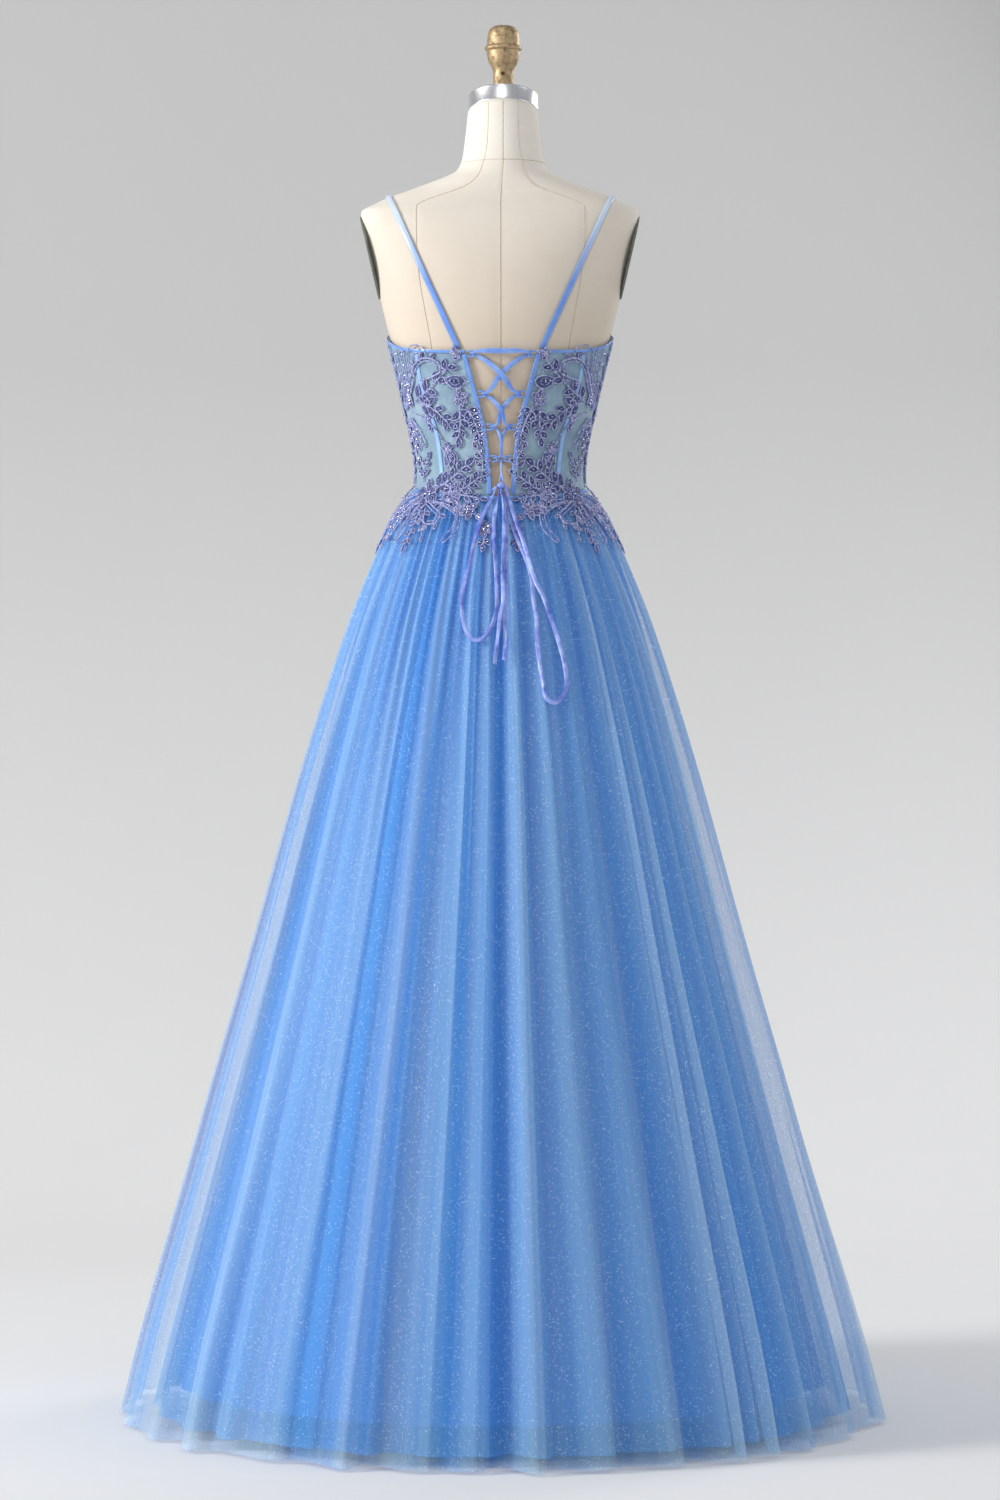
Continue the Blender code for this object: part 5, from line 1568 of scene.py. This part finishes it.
@dataclass(frozen=True)
class LaceGround:
    """The surface that the lace lies on: the bodice, and below it the top of the skirt."""

    body: BodyShape
    skirt: SkirtShape
    bodice_out: float = 0.0046
    hip_out: float = 0.003

    def base(self, turn: Array, height: Array) -> Array:
        """Points of the surface."""
        bodice = self.body.points(turn, height, self.bodice_out)
        top = self.body.waist_height(turn)
        fall = np.clip((top - height) / (top - HEM_Z), 0, 1)
        out = 1000 * self.hip_out * np.clip(fall / WAIST_FALL, 0, 1)
        hips = self.skirt.points(turn, fall, self.skirt.outer, SKIRT_OUT + self.hip_out,
                                 self.skirt.crest(turn, fall) + out)
        hips[..., 2] = np.where(fall > 0, height, hips[..., 2])
        share = step_up(top - height, -0.004, 0.006)[..., None]
        return bodice * (1 - share) + hips * share

    def place(self, turn: Array, height: Array, out: Array) -> tuple[Array, Array]:
        """Points over the surface, and its normals."""
        normal = normals_of(self.base, turn, height, 2e-3)
        return self.base(turn, height) + normal * out[..., None], normal

    def speed(self, spots: Array) -> Array:
        """Metres across for each radian of turn, at spots of (turn, height)."""
        small = 1e-3
        before, after = (self.base(spots[:, 0] + step, spots[:, 1]) for step in (-small, small))
        return np.linalg.norm(after - before, axis=1) / (2 * small)


@dataclass
class LaceWork:
    """Draws motifs in turns and heights of one half, then lays them on the ground on either side."""

    ground: LaceGround
    outline: float = 0.00078
    vein: float = 0.0005
    stalk: float = 0.0009
    band: float = 0.0013
    bead_size: float = 0.0012
    arc: float = 0.118
    sides: int = 5
    cords: list = field(default_factory=list)
    fills: list = field(default_factory=list)
    beads: list = field(default_factory=list)

    def spread(self, spot: Array, drawn: Array) -> Array:
        """Drawn metres (across, up) round a spot, as turns and heights."""
        return spot + drawn / np.array((self.ground.speed(spot[None])[0], 1.0))

    def route(self, spots: Array, count: int) -> tuple[Array, Array, Array]:
        """A smooth path through spots.

        Args:
            spots: Turns and heights on the way.
            count: How many points the path has.

        Returns:
            The path, its lean from upright in degrees, and metres for each radian of turn.
        """
        scale = np.array((self.arc, 1.0))
        path = along(spots * scale, count) / scale
        speed = self.ground.speed(path)
        steps = np.gradient(path, axis=0)
        return path, np.degrees(np.arctan2(steps[:, 0] * speed, steps[:, 1])), speed

    @staticmethod
    def heading(angle: float) -> tuple[Array, Array]:
        """Directions along and across a motif that leans this many degrees from upright."""
        lean = math.radians(angle)
        return np.array((math.sin(lean), math.cos(lean))), np.array((math.cos(lean), -math.sin(lean)))

    @staticmethod
    def sideways(lean: Array, speed: Array) -> Array:
        """One metre across a path, as turns and heights."""
        angle = np.radians(lean)
        return np.stack((np.cos(angle) / speed, -np.sin(angle)), axis=1)

    def aim(self, spots: Array) -> float:
        """Degrees from upright of the way from the first spot to the second, 0 for a lone spot."""
        if len(spots) < 2:
            return 0.0
        step = (spots[1] - spots[0]) * np.array((self.ground.speed(spots[:1])[0], 1.0))
        return math.degrees(math.atan2(step[0], step[1]))

    def bead(self, spot: Array, drawn: Array = np.zeros(2), size: float = 1.0) -> None:
        """A bead at a drawn point."""
        self.beads.append((*self.spread(spot, drawn), self.bead_size * size))

    def leaf(self, spot: Array, angle: float, length: float, wide: float = 0.52, nested: bool = False,
             start: float = 0.0) -> None:
        """A pointed leaf: an outline cord, a dark net inside and a bead.

        Args:
            spot: Turn and height of its root.
            angle: Degrees from upright.
            length: Its length.
            wide: Its width as a share of its length.
            nested: Whether a smaller outline lies inside.
            start: Distance of the leaf's root from the spot.
        """
        on, across = self.heading(angle)
        share = np.linspace(0, 1, 9)
        half = (length * wide / 2 * np.sin(math.pi * share**0.82) ** 0.8)[:, None] * across
        bow = 0.07 * length * np.sin(math.pi * share)
        spine = (start + share * length)[:, None] * on + bow[:, None] * across
        for scale in (1.0, 0.55) if nested else (1.0,):
            middle = spine.mean(axis=0) * (1 - scale)
            rim = np.concatenate((spine + half, (spine - half)[-2::-1])) * scale + middle
            self.cords.append((self.spread(spot, rim), self.outline if scale == 1.0 else self.vein))
        inner = 0.8 * half[1:-1]
        net = self.spread(spot, np.concatenate((spine[1:-1] + inner, spine[1:-1] - inner)))
        index = np.arange(6)
        self.fills.append((net, np.stack((index, index + 1, index + 8, index + 7), axis=1)))
        self.bead(spot, spine[4])

    def stem(self, size: float, count: int, spots: Array) -> None:
        """A stalk with pairs of leaves and one at its tip."""
        path, lean, _ = self.route(spots, 5 * count + 6)
        self.cords.append((path, self.stalk))
        for number in range(count):
            share = (number + 0.55) / (count + 0.35)
            for side in (1, -1):
                at = min(int(share * (len(path) - 1)) + (side < 0), len(path) - 1)
                long = size * (1.04 - 0.3 * share) * (1.0 if (number + side) % 3 else 0.84)
                self.leaf(path[at], lean[at] + side * (54 - 16 * share), long, start=0.0008)
        self.leaf(path[-1], lean[-1], size * 0.85)

    def frond(self, size: float, count: int, spots: Array) -> None:
        """A long narrow loop that widens to a round tip, with beads in its outer part."""
        path, lean, speed = self.route(spots, 24)
        share = np.linspace(0, 1, 24)
        half = size / 2 * (0.22 + 0.78 * step_up(share, 0, 0.8))
        across = self.sideways(lean, speed)
        right, left = path + half[:, None] * across, path - half[:, None] * across
        turns = np.linspace(0, math.pi, 7)[1:-1]
        on, wide = self.heading(lean[-1])
        cap = self.spread(path[-1], size / 2 * (np.outer(np.cos(turns), wide) + np.outer(np.sin(turns), on)))
        self.cords.append((np.concatenate((right, cap, left[::-1])), self.outline))
        self.cords.append((path[:16], self.vein))
        for at in np.linspace(11, 23, count).astype(int):
            self.bead(path[at])

    def scroll(self, size: float, count: int, spots: Array) -> None:
        """A thick beaded band that curls, with a thin cord beside it and drops along its back."""
        path, lean, speed = self.route(spots, 40)
        self.cords.append((path, self.band))
        across = self.sideways(lean, speed)
        back = 1 if (np.unwrap(np.radians(lean))[-1] < math.radians(lean[0])) else -1
        self.cords.append((path[:34] - back * 0.45 * size * across[:34], self.outline))
        for at in np.linspace(7, 38, count).astype(int):
            self.leaf(path[at], lean[at] + back * 58, size * 0.9, start=0.0006)
        for at in np.linspace(4, 39, 2 * count).astype(int):
            self.bead(path[at], size=1.1)

    def bloom(self, size: float, count: int, spots: Array) -> None:
        """An open flower: broad nested petals round a ring of beads."""
        spot, aim = spots[0], self.aim(spots)
        for number in range(count):
            long = size * (0.41 + 0.06 * math.cos(2.3 * number))
            self.leaf(spot, aim + 360 * number / count, long, 0.66, size > 0.013, size * 0.09)
        ring = np.linspace(0, math.tau, 13)
        wheel = np.stack((np.cos(ring), np.sin(ring)), axis=1)
        self.cords.append((self.spread(spot, wheel * size * 0.1), self.outline))
        self.bead(spot, size=1.5)
        for way in wheel[:-1:2]:
            self.bead(spot, way * size * 0.15)

    def eye(self, size: float, count: int, spots: Array) -> None:
        """An eye-shaped bloom: nested pointed ovals round beads, with short rays."""
        spot, aim = spots[0], self.aim(spots)
        on, across = self.heading(aim)
        self.leaf(spot, aim, size, 0.58, True, -size / 2)
        for number in range(count):
            way = math.tau * (number + 0.5) / count
            out = (on * math.cos(way) * 0.5 + across * math.sin(way) * 0.32) * size
            self.cords.append((self.spread(spot, np.array((out * 0.9, out * 1.2))), self.vein))
            self.bead(spot, out * 1.3, 0.8)
        for step in (-0.2, 0.0, 0.2):
            self.bead(spot, on * step * size, 1.2)

    def bud(self, size: float, count: int, spots: Array) -> None:
        """A closed bud: nested petals that hug a middle one, with a calyx behind."""
        spot, aim = spots[0], self.aim(spots)
        for number in range(count):
            lean = (number - (count - 1) / 2) * 62 / count
            self.leaf(spot, aim + lean, size * (0.86 - 0.004 * abs(lean)), 0.46, number % 2 == 0)
        for lean in (120, 180, 240):
            self.leaf(spot, aim + lean, size * 0.36, 0.5)

    def draw(self, kind: Motif, size: float, count: int, *spots: tuple[float, float]) -> None:
        """One motif by its size in millimetres, count, and spots in degrees and millimetres over 1 m."""
        turn, height = np.array(spots, float).T
        spots = np.stack((turn * math.radians(1), (height + 1000) / 1000), axis=1)
        getattr(self, kind.value)(size / 1000, count, spots)

    def net_mesh(self, side: int) -> tuple[Array, Array]:
        """Points and faces of the nets inside the leaves."""
        rims = np.concatenate([rim for rim, _ in self.fills])
        starts = np.cumsum([0] + [len(rim) for rim, _ in self.fills[:-1]])
        faces = np.concatenate([start + face for start, (_, face) in zip(starts, self.fills)])
        points, _ = self.ground.place(side * rims[:, 0], rims[:, 1], np.full(len(rims), 0.0002))
        return points, faces if side < 0 else faces[:, ::-1]

    def cord_mesh(self, side: int) -> tuple[Array, Array]:
        """Points and faces of the raised cords."""
        routes = np.concatenate([path for path, _ in self.cords])
        radii = np.concatenate([np.full(len(path), radius) for path, radius in self.cords])
        centres, normals = self.ground.place(side * routes[:, 0], routes[:, 1], radii * 0.9)
        points, faces, at = [], [], 0
        for path, radius in self.cords:
            end = at + len(path)
            thin = np.full(len(path), radius)
            thin[[0, -1]] *= 0.5
            rings = tube_rings(centres[at:end], normals[at:end], thin, self.sides)
            points.append(rings.reshape(-1, 3))
            faces.append(grid_faces(len(path), self.sides, True, at * self.sides))
            at = end
        return np.concatenate(points), np.concatenate(faces)

    def bead_mesh(self, side: int) -> tuple[Array, Array]:
        """Points and faces of the beads, each a cut drop with six sides."""
        spots = np.array(self.beads)
        centres, normals = self.ground.place(side * spots[:, 0], spots[:, 1], spots[:, 2] * 1.1)
        flat = unit(np.cross(normals, np.array((0.0, 0.0, 1.0))))
        up = np.cross(normals, flat)
        angle = circle(6)
        radius = spots[:, 2][:, None, None]
        wheel = np.cos(angle)[None, :, None] * flat[:, None] + np.sin(angle)[None, :, None] * up[:, None]
        low = centres[:, None] + radius * (0.92 * wheel - 0.35 * normals[:, None])
        high = centres[:, None] + radius * (0.72 * wheel + 0.6 * normals[:, None])
        ends = [centres[:, None] + way * radius * normals[:, None] for way in (1, -1)]
        ring = np.arange(6)
        after = (ring + 1) % 6
        corners = (
            (ring, after, after + 6), (ring, after + 6, ring + 6),
            (ring + 6, after + 6, 0 * ring + 12), (after, ring, 0 * ring + 13),
        )
        triangles = np.concatenate([np.stack(corner, axis=1) for corner in corners])
        faces = (np.arange(len(spots)) * 14)[:, None, None] + triangles[None]
        return np.concatenate((low, high, *ends), axis=1).reshape(-1, 3), faces.reshape(-1, 3)


@dataclass(frozen=True)
class Lace:
    """All the lace: the motifs of one half, mirrored, on the bodice and over the hips."""

    ground: LaceGround
    # Kind, size in millimetres, count, then spots: turn in degrees, millimetres over 1 m
    bodice: tuple = (
        (FROND, 9.0, 4, (77, 250), (71, 290), (70, 320)), (FROND, 9.0, 4, (75, 250), (65, 285), (62, 318)),
        (FROND, 9.5, 5, (73, 252), (58, 285), (55, 314), (49, 323), (43, 319), (45, 311)),
        (SCROLL, 8.5, 8, (70, 257), (60, 283), (52, 303), (42, 311), (34, 305), (33, 295),
         (39, 288), (49, 284)), (EYE, 19.0, 0, (65, 262), (65, 280)),
        (STEM, 17.5, 4, (60, 258), (46, 270), (34, 287), (24, 307)), (BLOOM, 15.5, 5, (22.5, 315)),
        (STEM, 18.0, 4, (57, 257), (44, 250), (32, 230)), (EYE, 27.5, 9, (25, 282), (35, 284)),
        (BLOOM, 22.0, 6, (22.5, 260)), (STEM, 16.0, 3, (23.5, 252), (24, 230), (26, 213)),
        (STEM, 14.0, 4, (19, 251), (14.5, 230), (12, 211)),
        (STEM, 11.5, 1, (66, 247), (51, 236), (42, 220), (37, 203)), (BLOOM, 12.0, 5, (50, 236)),
        (BUD, 28.0, 3, (35, 198), (34, 186)), (FROND, 8.0, 3, (69, 241), (63, 225), (58, 207)),
        (FROND, 8.0, 3, (73, 240), (68, 222), (66, 203)), (STEM, 12.0, 4, (79, 243), (74, 215), (69, 180)),
        (STEM, 11.5, 2, (62, 160), (60, 176), (55, 189)),
        (STEM, 11.5, 2, (10.5, 170), (10.5, 184), (14, 199)), (BLOOM, 41.0, 6, (52, 143), (60, 150)),
        (STEM, 17.5, 4, (47, 149), (34, 161), (22, 178)), (STEM, 15.5, 5, (40, 140), (25, 148), (11, 165)),
        (BLOOM, 25.0, 7, (91, 246)), (STEM, 13.5, 4, (86, 256), (84, 290), (85, 325)),
        (STEM, 13.5, 5, (88, 236), (85, 210), (86, 172)), (FROND, 9.0, 4, (95, 256), (93, 290), (92, 330)),
        (FROND, 9.0, 4, (104, 250), (101, 290), (102, 335)),
        (FROND, 9.0, 4, (106, 250), (108, 290), (111, 338)),
        (SCROLL, 8.5, 8, (109, 252), (116, 285), (124, 312), (134, 320), (142, 312), (142, 301),
         (136, 295), (128, 293)), (BLOOM, 28.0, 7, (119, 258)),
        (STEM, 17.5, 4, (124, 264), (136, 274), (147, 295), (154, 325)),
        (STEM, 17.5, 4, (125, 252), (139, 247), (151, 230)), (BLOOM, 21.0, 6, (160, 270)),
        (EYE, 27.5, 9, (159, 300), (149, 302)), (STEM, 15.5, 3, (160, 262), (161, 240), (158, 215)),
        (STEM, 15.5, 4, (167, 266), (172, 240), (174, 210)), (BUD, 28.0, 3, (146, 206), (146, 190)),
        (STEM, 13.5, 3, (111, 243), (107, 215), (110, 185)),
        (STEM, 13.5, 3, (101, 242), (98, 210), (99, 180)), (BLOOM, 24.0, 6, (132, 345)),
        (STEM, 13.5, 2, (138, 346), (147, 347), (155, 336)),
        (STEM, 13.5, 2, (126, 342), (119, 334), (113, 336)), (BLOOM, 41.0, 6, (126, 152)),
        (STEM, 17.5, 4, (132, 160), (145, 170), (158, 188)),
        (STEM, 15.5, 5, (140, 152), (156, 158), (172, 174)),
        (STEM, 13.5, 3, (118, 163), (112, 182), (114, 202)),
    )
    hip: tuple = (
        (STEM, 11.0, 4, (37, 143), (24, 141), (11, 136)),
        (STEM, 11.0, 4, (143, 150), (158, 149), (171, 146)), (BUD, 14.0, 3, (24, 128), (26, 114)),
        (STEM, 9.0, 2, (47, 128), (44, 108), (42, 90)),
        (SCROLL, 8.5, 6, (47, 135), (40, 126), (34, 116), (35, 107), (41, 105), (46, 112)),
        (FROND, 7.0, 6, (43, 134), (31, 127), (23, 114), (23, 103), (28, 85)),
        (STEM, 13.5, 2, (40, 136), (30, 136), (22, 128)), (BLOOM, 24.0, 6, (17.5, 122)),
        (BLOOM, 20.0, 6, (8, 97)), (EYE, 11.0, 0, (11, 112), (7, 107)), (STEM, 10.5, 1, (7.5, 90), (8, 78)),
        (FROND, 9.0, 4, (58, 141), (68, 130), (78, 108)), (FROND, 9.0, 4, (56, 136), (64, 118), (70, 95)),
        (FROND, 9.0, 5, (53, 132), (57, 112), (60, 88)), (FROND, 9.0, 4, (60, 145), (73, 141), (85, 122)),
        (STEM, 11.5, 4, (50, 128), (50, 105), (51, 80)), (STEM, 11.5, 4, (60, 134), (68, 110), (74, 86)),
        (STEM, 12.0, 4, (72, 140), (80, 116), (86, 88)), (BLOOM, 30.0, 7, (89, 141)),
        (STEM, 12.0, 4, (92, 132), (94, 110), (94, 84)),
        (SCROLL, 8.5, 6, (132, 142), (140, 132), (146, 122), (145, 113), (139, 111), (134, 118)),
        (FROND, 7.0, 6, (137, 142), (149, 134), (157, 121), (157, 110), (152, 92)),
        (STEM, 13.5, 2, (142, 143), (152, 143), (160, 135)), (BLOOM, 24.0, 6, (164, 129)),
        (BLOOM, 20.0, 6, (175, 104)), (FROND, 9.0, 4, (121, 148), (112, 130), (104, 106)),
        (FROND, 9.0, 4, (123, 142), (118, 120), (113, 94)),
        (FROND, 9.0, 4, (119, 152), (108, 146), (99, 132)),
        (STEM, 11.5, 4, (127, 136), (127, 110), (128, 84)),
        (STEM, 12.0, 4, (108, 144), (102, 118), (100, 88)),
        (STEM, 11.5, 3, (168, 120), (170, 103), (171, 86)),
    )

    def build(self, finishes: Finishes) -> None:
        """Makes the cords, nets and beads of both halves."""
        for place, rows in (("bodice", self.bodice), ("hip", self.hip)):
            for half, low, high in (("back", 0, 90), ("front", 90, 181)):
                work = LaceWork(self.ground)
                for row in rows:
                    if low <= row[3][0] < high:
                        work.draw(*row)
                for side, word in SIDES:
                    tag = f"{place}_{half}_{word}"
                    cords = new_piece(f"lace_{tag}", *work.cord_mesh(side), finishes.lace, "applique")
                    new_piece(f"lace_net_{tag}", *work.net_mesh(side), finishes.lace_fill, "applique", False)
                    new_piece(f"lace_beads_{tag}", *work.bead_mesh(side), finishes.bead, "applique", False)
                    if place == "hip":
                        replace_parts(cords, f"hip_applique_{half}_{word}")


# Dress form


@dataclass(frozen=True)
class DressForm:
    """The covered torso with its seams, neck band, knob and armhole plates."""

    body: BodyShape
    neck_tilt: float = math.radians(15.5)
    neck_seam_z: float = 1.561
    neck_top_z: float = 1.6255
    neck_mid_y: float = -0.0118
    groove: float = 0.0005
    groove_wide: float = 0.0006
    shrink: float = 0.0001
    plate_x: float = 0.1602
    plate_z: float = 1.4431
    plate_tall: float = 0.053
    plate_deep: float = 0.04
    plate_thick: float = 0.0036
    plate_lean: float = math.radians(12.9)
    # Height and distance across of the princess seams
    back_seam: Array = sizes(
        (0.885, 0.08), (1.0, 0.078), (1.172, 0.062), (1.331, 0.086), (1.42, 0.101), (1.5, 0.104),
        (1.53, 0.04), (1.561, 0.024), (1.632, 0.018),
    )
    front_seam: Array = sizes(
        (0.885, 0.078), (1.0, 0.076), (1.172, 0.056), (1.322, 0.07), (1.42, 0.09), (1.5, 0.098),
        (1.53, 0.038), (1.561, 0.022), (1.632, 0.017),
    )
    # Neck band: radius, distance along the neck from its top
    band: Array = sizes(
        (0.0424, 0.0003), (0.0434, 0.0004), (0.0439, 0.0009), (0.0441, 0.0017), (0.0439, 0.0024),
        (0.0438, 0.003), (0.0438, 0.0177), (0.0439, 0.0185), (0.0441, 0.0192), (0.0439, 0.0201),
        (0.0432, 0.0206), (0.0424, 0.0208), (0.03, 0.0208), (0.016, 0.0208),
    )
    # Knob: radius, height
    knob: Array = sizes(
        (0.0127, 1.6625), (0.0126, 1.67), (0.0128, 1.6765), (0.0138, 1.6814), (0.0158, 1.6848),
        (0.0176, 1.688), (0.019, 1.6916), (0.0198, 1.6955), (0.0204, 1.7004), (0.0207, 1.7034),
        (0.0216, 1.704), (0.0229, 1.7048), (0.0234, 1.7062), (0.0233, 1.7078), (0.0224, 1.7092),
        (0.0209, 1.71), (0.0205, 1.7112), (0.0203, 1.716), (0.0197, 1.7222), (0.0187, 1.727),
        (0.017, 1.7306), (0.0142, 1.7331), (0.01, 1.7348), (0.005, 1.7356), (0.0008, 1.7358),
    )
    knob_back: float = -0.004
    hole: float = 0.0025
    hole_z: float = 1.6735
    seam_thick: float = 0.00034

    def seam_turns(self, heights: Array) -> Array:
        """Turns of the eight seams at each height, round from the centre back."""
        back = self.body.turn_of(curve(heights, self.back_seam), heights)
        front = self.body.turn_of(curve(heights, self.front_seam), heights, False)
        ones = np.ones_like(heights)
        half = [0 * ones, back, ones * math.pi / 2, front, ones * math.pi]
        return np.stack(half + [math.tau - seam for seam in half[3:0:-1]] + [math.tau * ones])

    def build_torso(self, finish: Material) -> None:
        """The cover: smooth panels with a fine groove at each seam, cut for the armhole plates."""
        rows = np.unique(np.concatenate((
            np.linspace(0.885, self.neck_top_z, 96), (0.8885, 0.892), np.linspace(1.495, 1.55, 24),
            self.neck_seam_z + np.array((-0.0014, -0.0007, 0.0, 0.0007, 0.0014)),
        )))
        seams = self.seam_turns(rows)
        inside = np.concatenate(((0.0, 0.045), np.linspace(0.12, 0.88, 11), (0.955,)))
        panels = [first[:, None] + (last - first)[:, None] * inside for first, last in zip(seams, seams[1:])]
        turn = np.concatenate(panels, axis=1)
        deep = np.tile(inside == 0.0, len(panels))[None, :] * np.ones((len(rows), 1))
        ring = np.exp(-(((rows - self.neck_seam_z) / self.groove_wide) ** 2))[:, None]
        height = rows[:, None] * np.ones((1, turn.shape[1]))
        out = -self.groove * np.maximum(deep, ring) - self.shrink
        points = self.tilted(self.body.points(turn, height, out))
        points[0, :, :2] *= 0.94
        made = shell("form_cover_torso", points, finish, "form_cover")
        for side in (1, -1):
            self.carve(made, self.oval_rings((0.0006, 0.0006), (-0.0006, 0.05), 64, side))
        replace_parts(made, "form_torso")

    @staticmethod
    def carve(made: Piece, rings: Array) -> None:
        """Cuts a closed form of rings out of a piece."""
        mesh = bpy.data.meshes.new("cutter")
        mesh.from_pydata(rings.reshape(-1, 3).tolist(), [], capped(rings))
        cutter = put("cutter", mesh)
        tool = made.modifiers.new("cut", "BOOLEAN")
        tool.operation, tool.solver, tool.object = "DIFFERENCE", "EXACT", cutter
        with bpy.context.temp_override(object=made, active_object=made):
            bpy.ops.object.modifier_apply(modifier=tool.name)
        bpy.data.objects.remove(cutter)

    def build_seams(self, finish: Material) -> None:
        """The sewn lines of the cover, each a fine thread in its groove."""
        heights = np.linspace(0.9, self.neck_top_z - 0.002, 150)
        routes = [(turns, heights) for turns in self.seam_turns(heights)[:8]]
        round_neck = np.linspace(0, math.tau, 90)
        routes.append((round_neck, self.neck_seam_z + 0 * round_neck))
        points, faces, start = [], [], 0
        for turn, height in routes:
            spine = self.tilted(self.body.points(turn, height, -self.shrink))
            rings = tube_rings(spine, self.body.normals(turn, height), self.seam_thick, 5)
            points.append(rings.reshape(-1, 3))
            faces.append(grid_faces(len(spine), 5, True, start))
            start += 5 * len(spine)
        new_piece("form_cover_seams", np.concatenate(points), np.concatenate(faces), finish, "form_cover")

    def tilted(self, points: Array) -> Array:
        """The points with the neck's top tilted forward."""
        tilt = step_up(points[..., 2], self.neck_seam_z, self.neck_top_z) * math.tan(self.neck_tilt)
        points = points.copy()
        points[..., 2] += tilt * (points[..., 1] - self.neck_mid_y)
        return points

    def oval_rings(self, scales: Sequence[float], offsets: Sequence[float], count: int, side: int) -> Array:
        """Rings of an armhole plate: an oval that faces outwards and a little down."""
        angle = circle(count)
        if side < 0:
            angle = -angle
        out = np.array((side * math.cos(self.plate_lean), 0.0, -math.sin(self.plate_lean)))
        up = np.array((side * math.sin(self.plate_lean), 0.0, math.cos(self.plate_lean)))
        middle = np.array((side * self.plate_x, -0.002, self.plate_z))
        rings = []
        for scale, offset in zip(scales, offsets):
            deep, tall = (self.plate_deep + scale) * np.sin(angle), (self.plate_tall + scale) * np.cos(angle)
            rings.append(middle + out * offset + np.outer(tall, up) + np.outer(deep, (0, 1, 0)))
        return np.array(rings)

    def build_plates(self, finish: Material) -> None:
        """The armhole plates, with a soft rim and a shallow dish."""
        thick = self.plate_thick
        scales = (-0.001, 0.0, 0.0, -0.0006, -0.0016, -0.006, -0.0075, -0.03)
        offsets = (0.0, 0.0008, thick - 0.001, thick - 0.0003, thick, thick, thick - 0.0006, thick - 0.0006)
        for side, word in SIDES:
            rings = self.oval_rings(scales, offsets, 64, side)
            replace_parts(shell(f"form_plate_{word}", rings, finish, "form_plate"), f"form_arm_plate_{word}")

    def tilted_ring(self, radius: float, up: float, count: int) -> Array:
        """A ring about the neck's tilted axis, at a distance along it from the neck's top."""
        angle = circle(count)
        x, y = radius * np.cos(angle), radius * np.sin(angle)
        lean_y, lean_z = math.cos(self.neck_tilt), math.sin(self.neck_tilt)
        middle = np.array((self.body.neck_lean, self.neck_mid_y, self.neck_top_z))
        return middle + np.stack((x, y * lean_y - up * lean_z, y * lean_z + up * lean_y), axis=-1)

    def build_neck(self, alloy: Material, brass: Material) -> None:
        """The polished neck band with its rolled edges, and the turned knob."""
        rings = np.array([self.tilted_ring(radius, up, 96) for radius, up in self.band])
        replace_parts(shell("form_band_alloy", rings, alloy, "form_alloy"), "form_neck_band")
        places = np.linspace(0, len(self.knob) - 1, 96)
        numbered = np.column_stack((np.arange(len(self.knob)), self.knob))
        radii, levels = curve(places, numbered, 1), curve(places, numbered, 2)
        angle = circle(56)
        middle = np.array((self.body.neck_lean, self.neck_mid_y + self.knob_back, 0.0))
        x, y = np.outer(radii, np.cos(angle)), np.outer(radii, np.sin(angle))
        rings = middle + np.stack((x, y, levels[:, None] + 0 * angle), axis=-1)
        top = self.tilted_ring(0.0, self.band[-1, 1] + self.band[0, 1], 1)[0]
        rings[0][:, 2] = top[2] + (rings[0][:, 1] - top[1]) * math.tan(self.neck_tilt)
        made = shell("form_knob_brass", rings, brass, "form_knob")
        round_hole = circle(24)
        self.carve(made, np.array([
            middle + np.stack((self.hole * np.cos(round_hole), depth + 0 * round_hole,
                               self.hole_z + self.hole * np.sin(round_hole)), axis=-1)
            for depth in (0.03, 0.004)
        ]))
        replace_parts(made, "form_knob")

    def dress_stand(self, finishes: Finishes) -> None:
        """The pole and base keep their solids and get their metals."""
        for name, finish in (("form_pole", finishes.alloy), ("form_base", finishes.iron)):
            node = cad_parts[name]
            node.data.materials.clear()
            node.data.materials.append(finish)


def write_sizes() -> None:
    """Updates the view layer."""
    bpy.context.view_layer.update()


def main() -> None:
    """Builds the camera and ribbons first, then the cloth, lace, form and studio."""
    logging.basicConfig(level=logging.INFO, format="%(name)s %(message)s")
    studio = Studio()
    studio.build_camera()
    finishes = Finishes()
    body = BodyShape()
    skirt = SkirtShape(body)
    lacing = Lacing(body, skirt)
    lacing.build_ribbon(finishes.lacing)
    lacing.build_loops(finishes.satin)
    lacing.build_bow(finishes.ribbon)
    Skirt(skirt).build(finishes)
    bodice = Bodice(body)
    bodice.build_net(finishes.net)
    bodice.build_trims(finishes)
    bodice.build_straps(finishes)
    Lace(LaceGround(body, skirt)).build(finishes)
    form = DressForm(body)
    form.build_torso(finishes.cover)
    form.build_seams(finishes.seam_thread)
    form.build_plates(finishes.plate)
    form.build_neck(finishes.alloy, finishes.brass)
    form.dress_stand(finishes)
    studio.build_lights()
    studio.build_backdrop(finishes.stage)
    write_sizes()


if __name__ == "__main__":
    main()
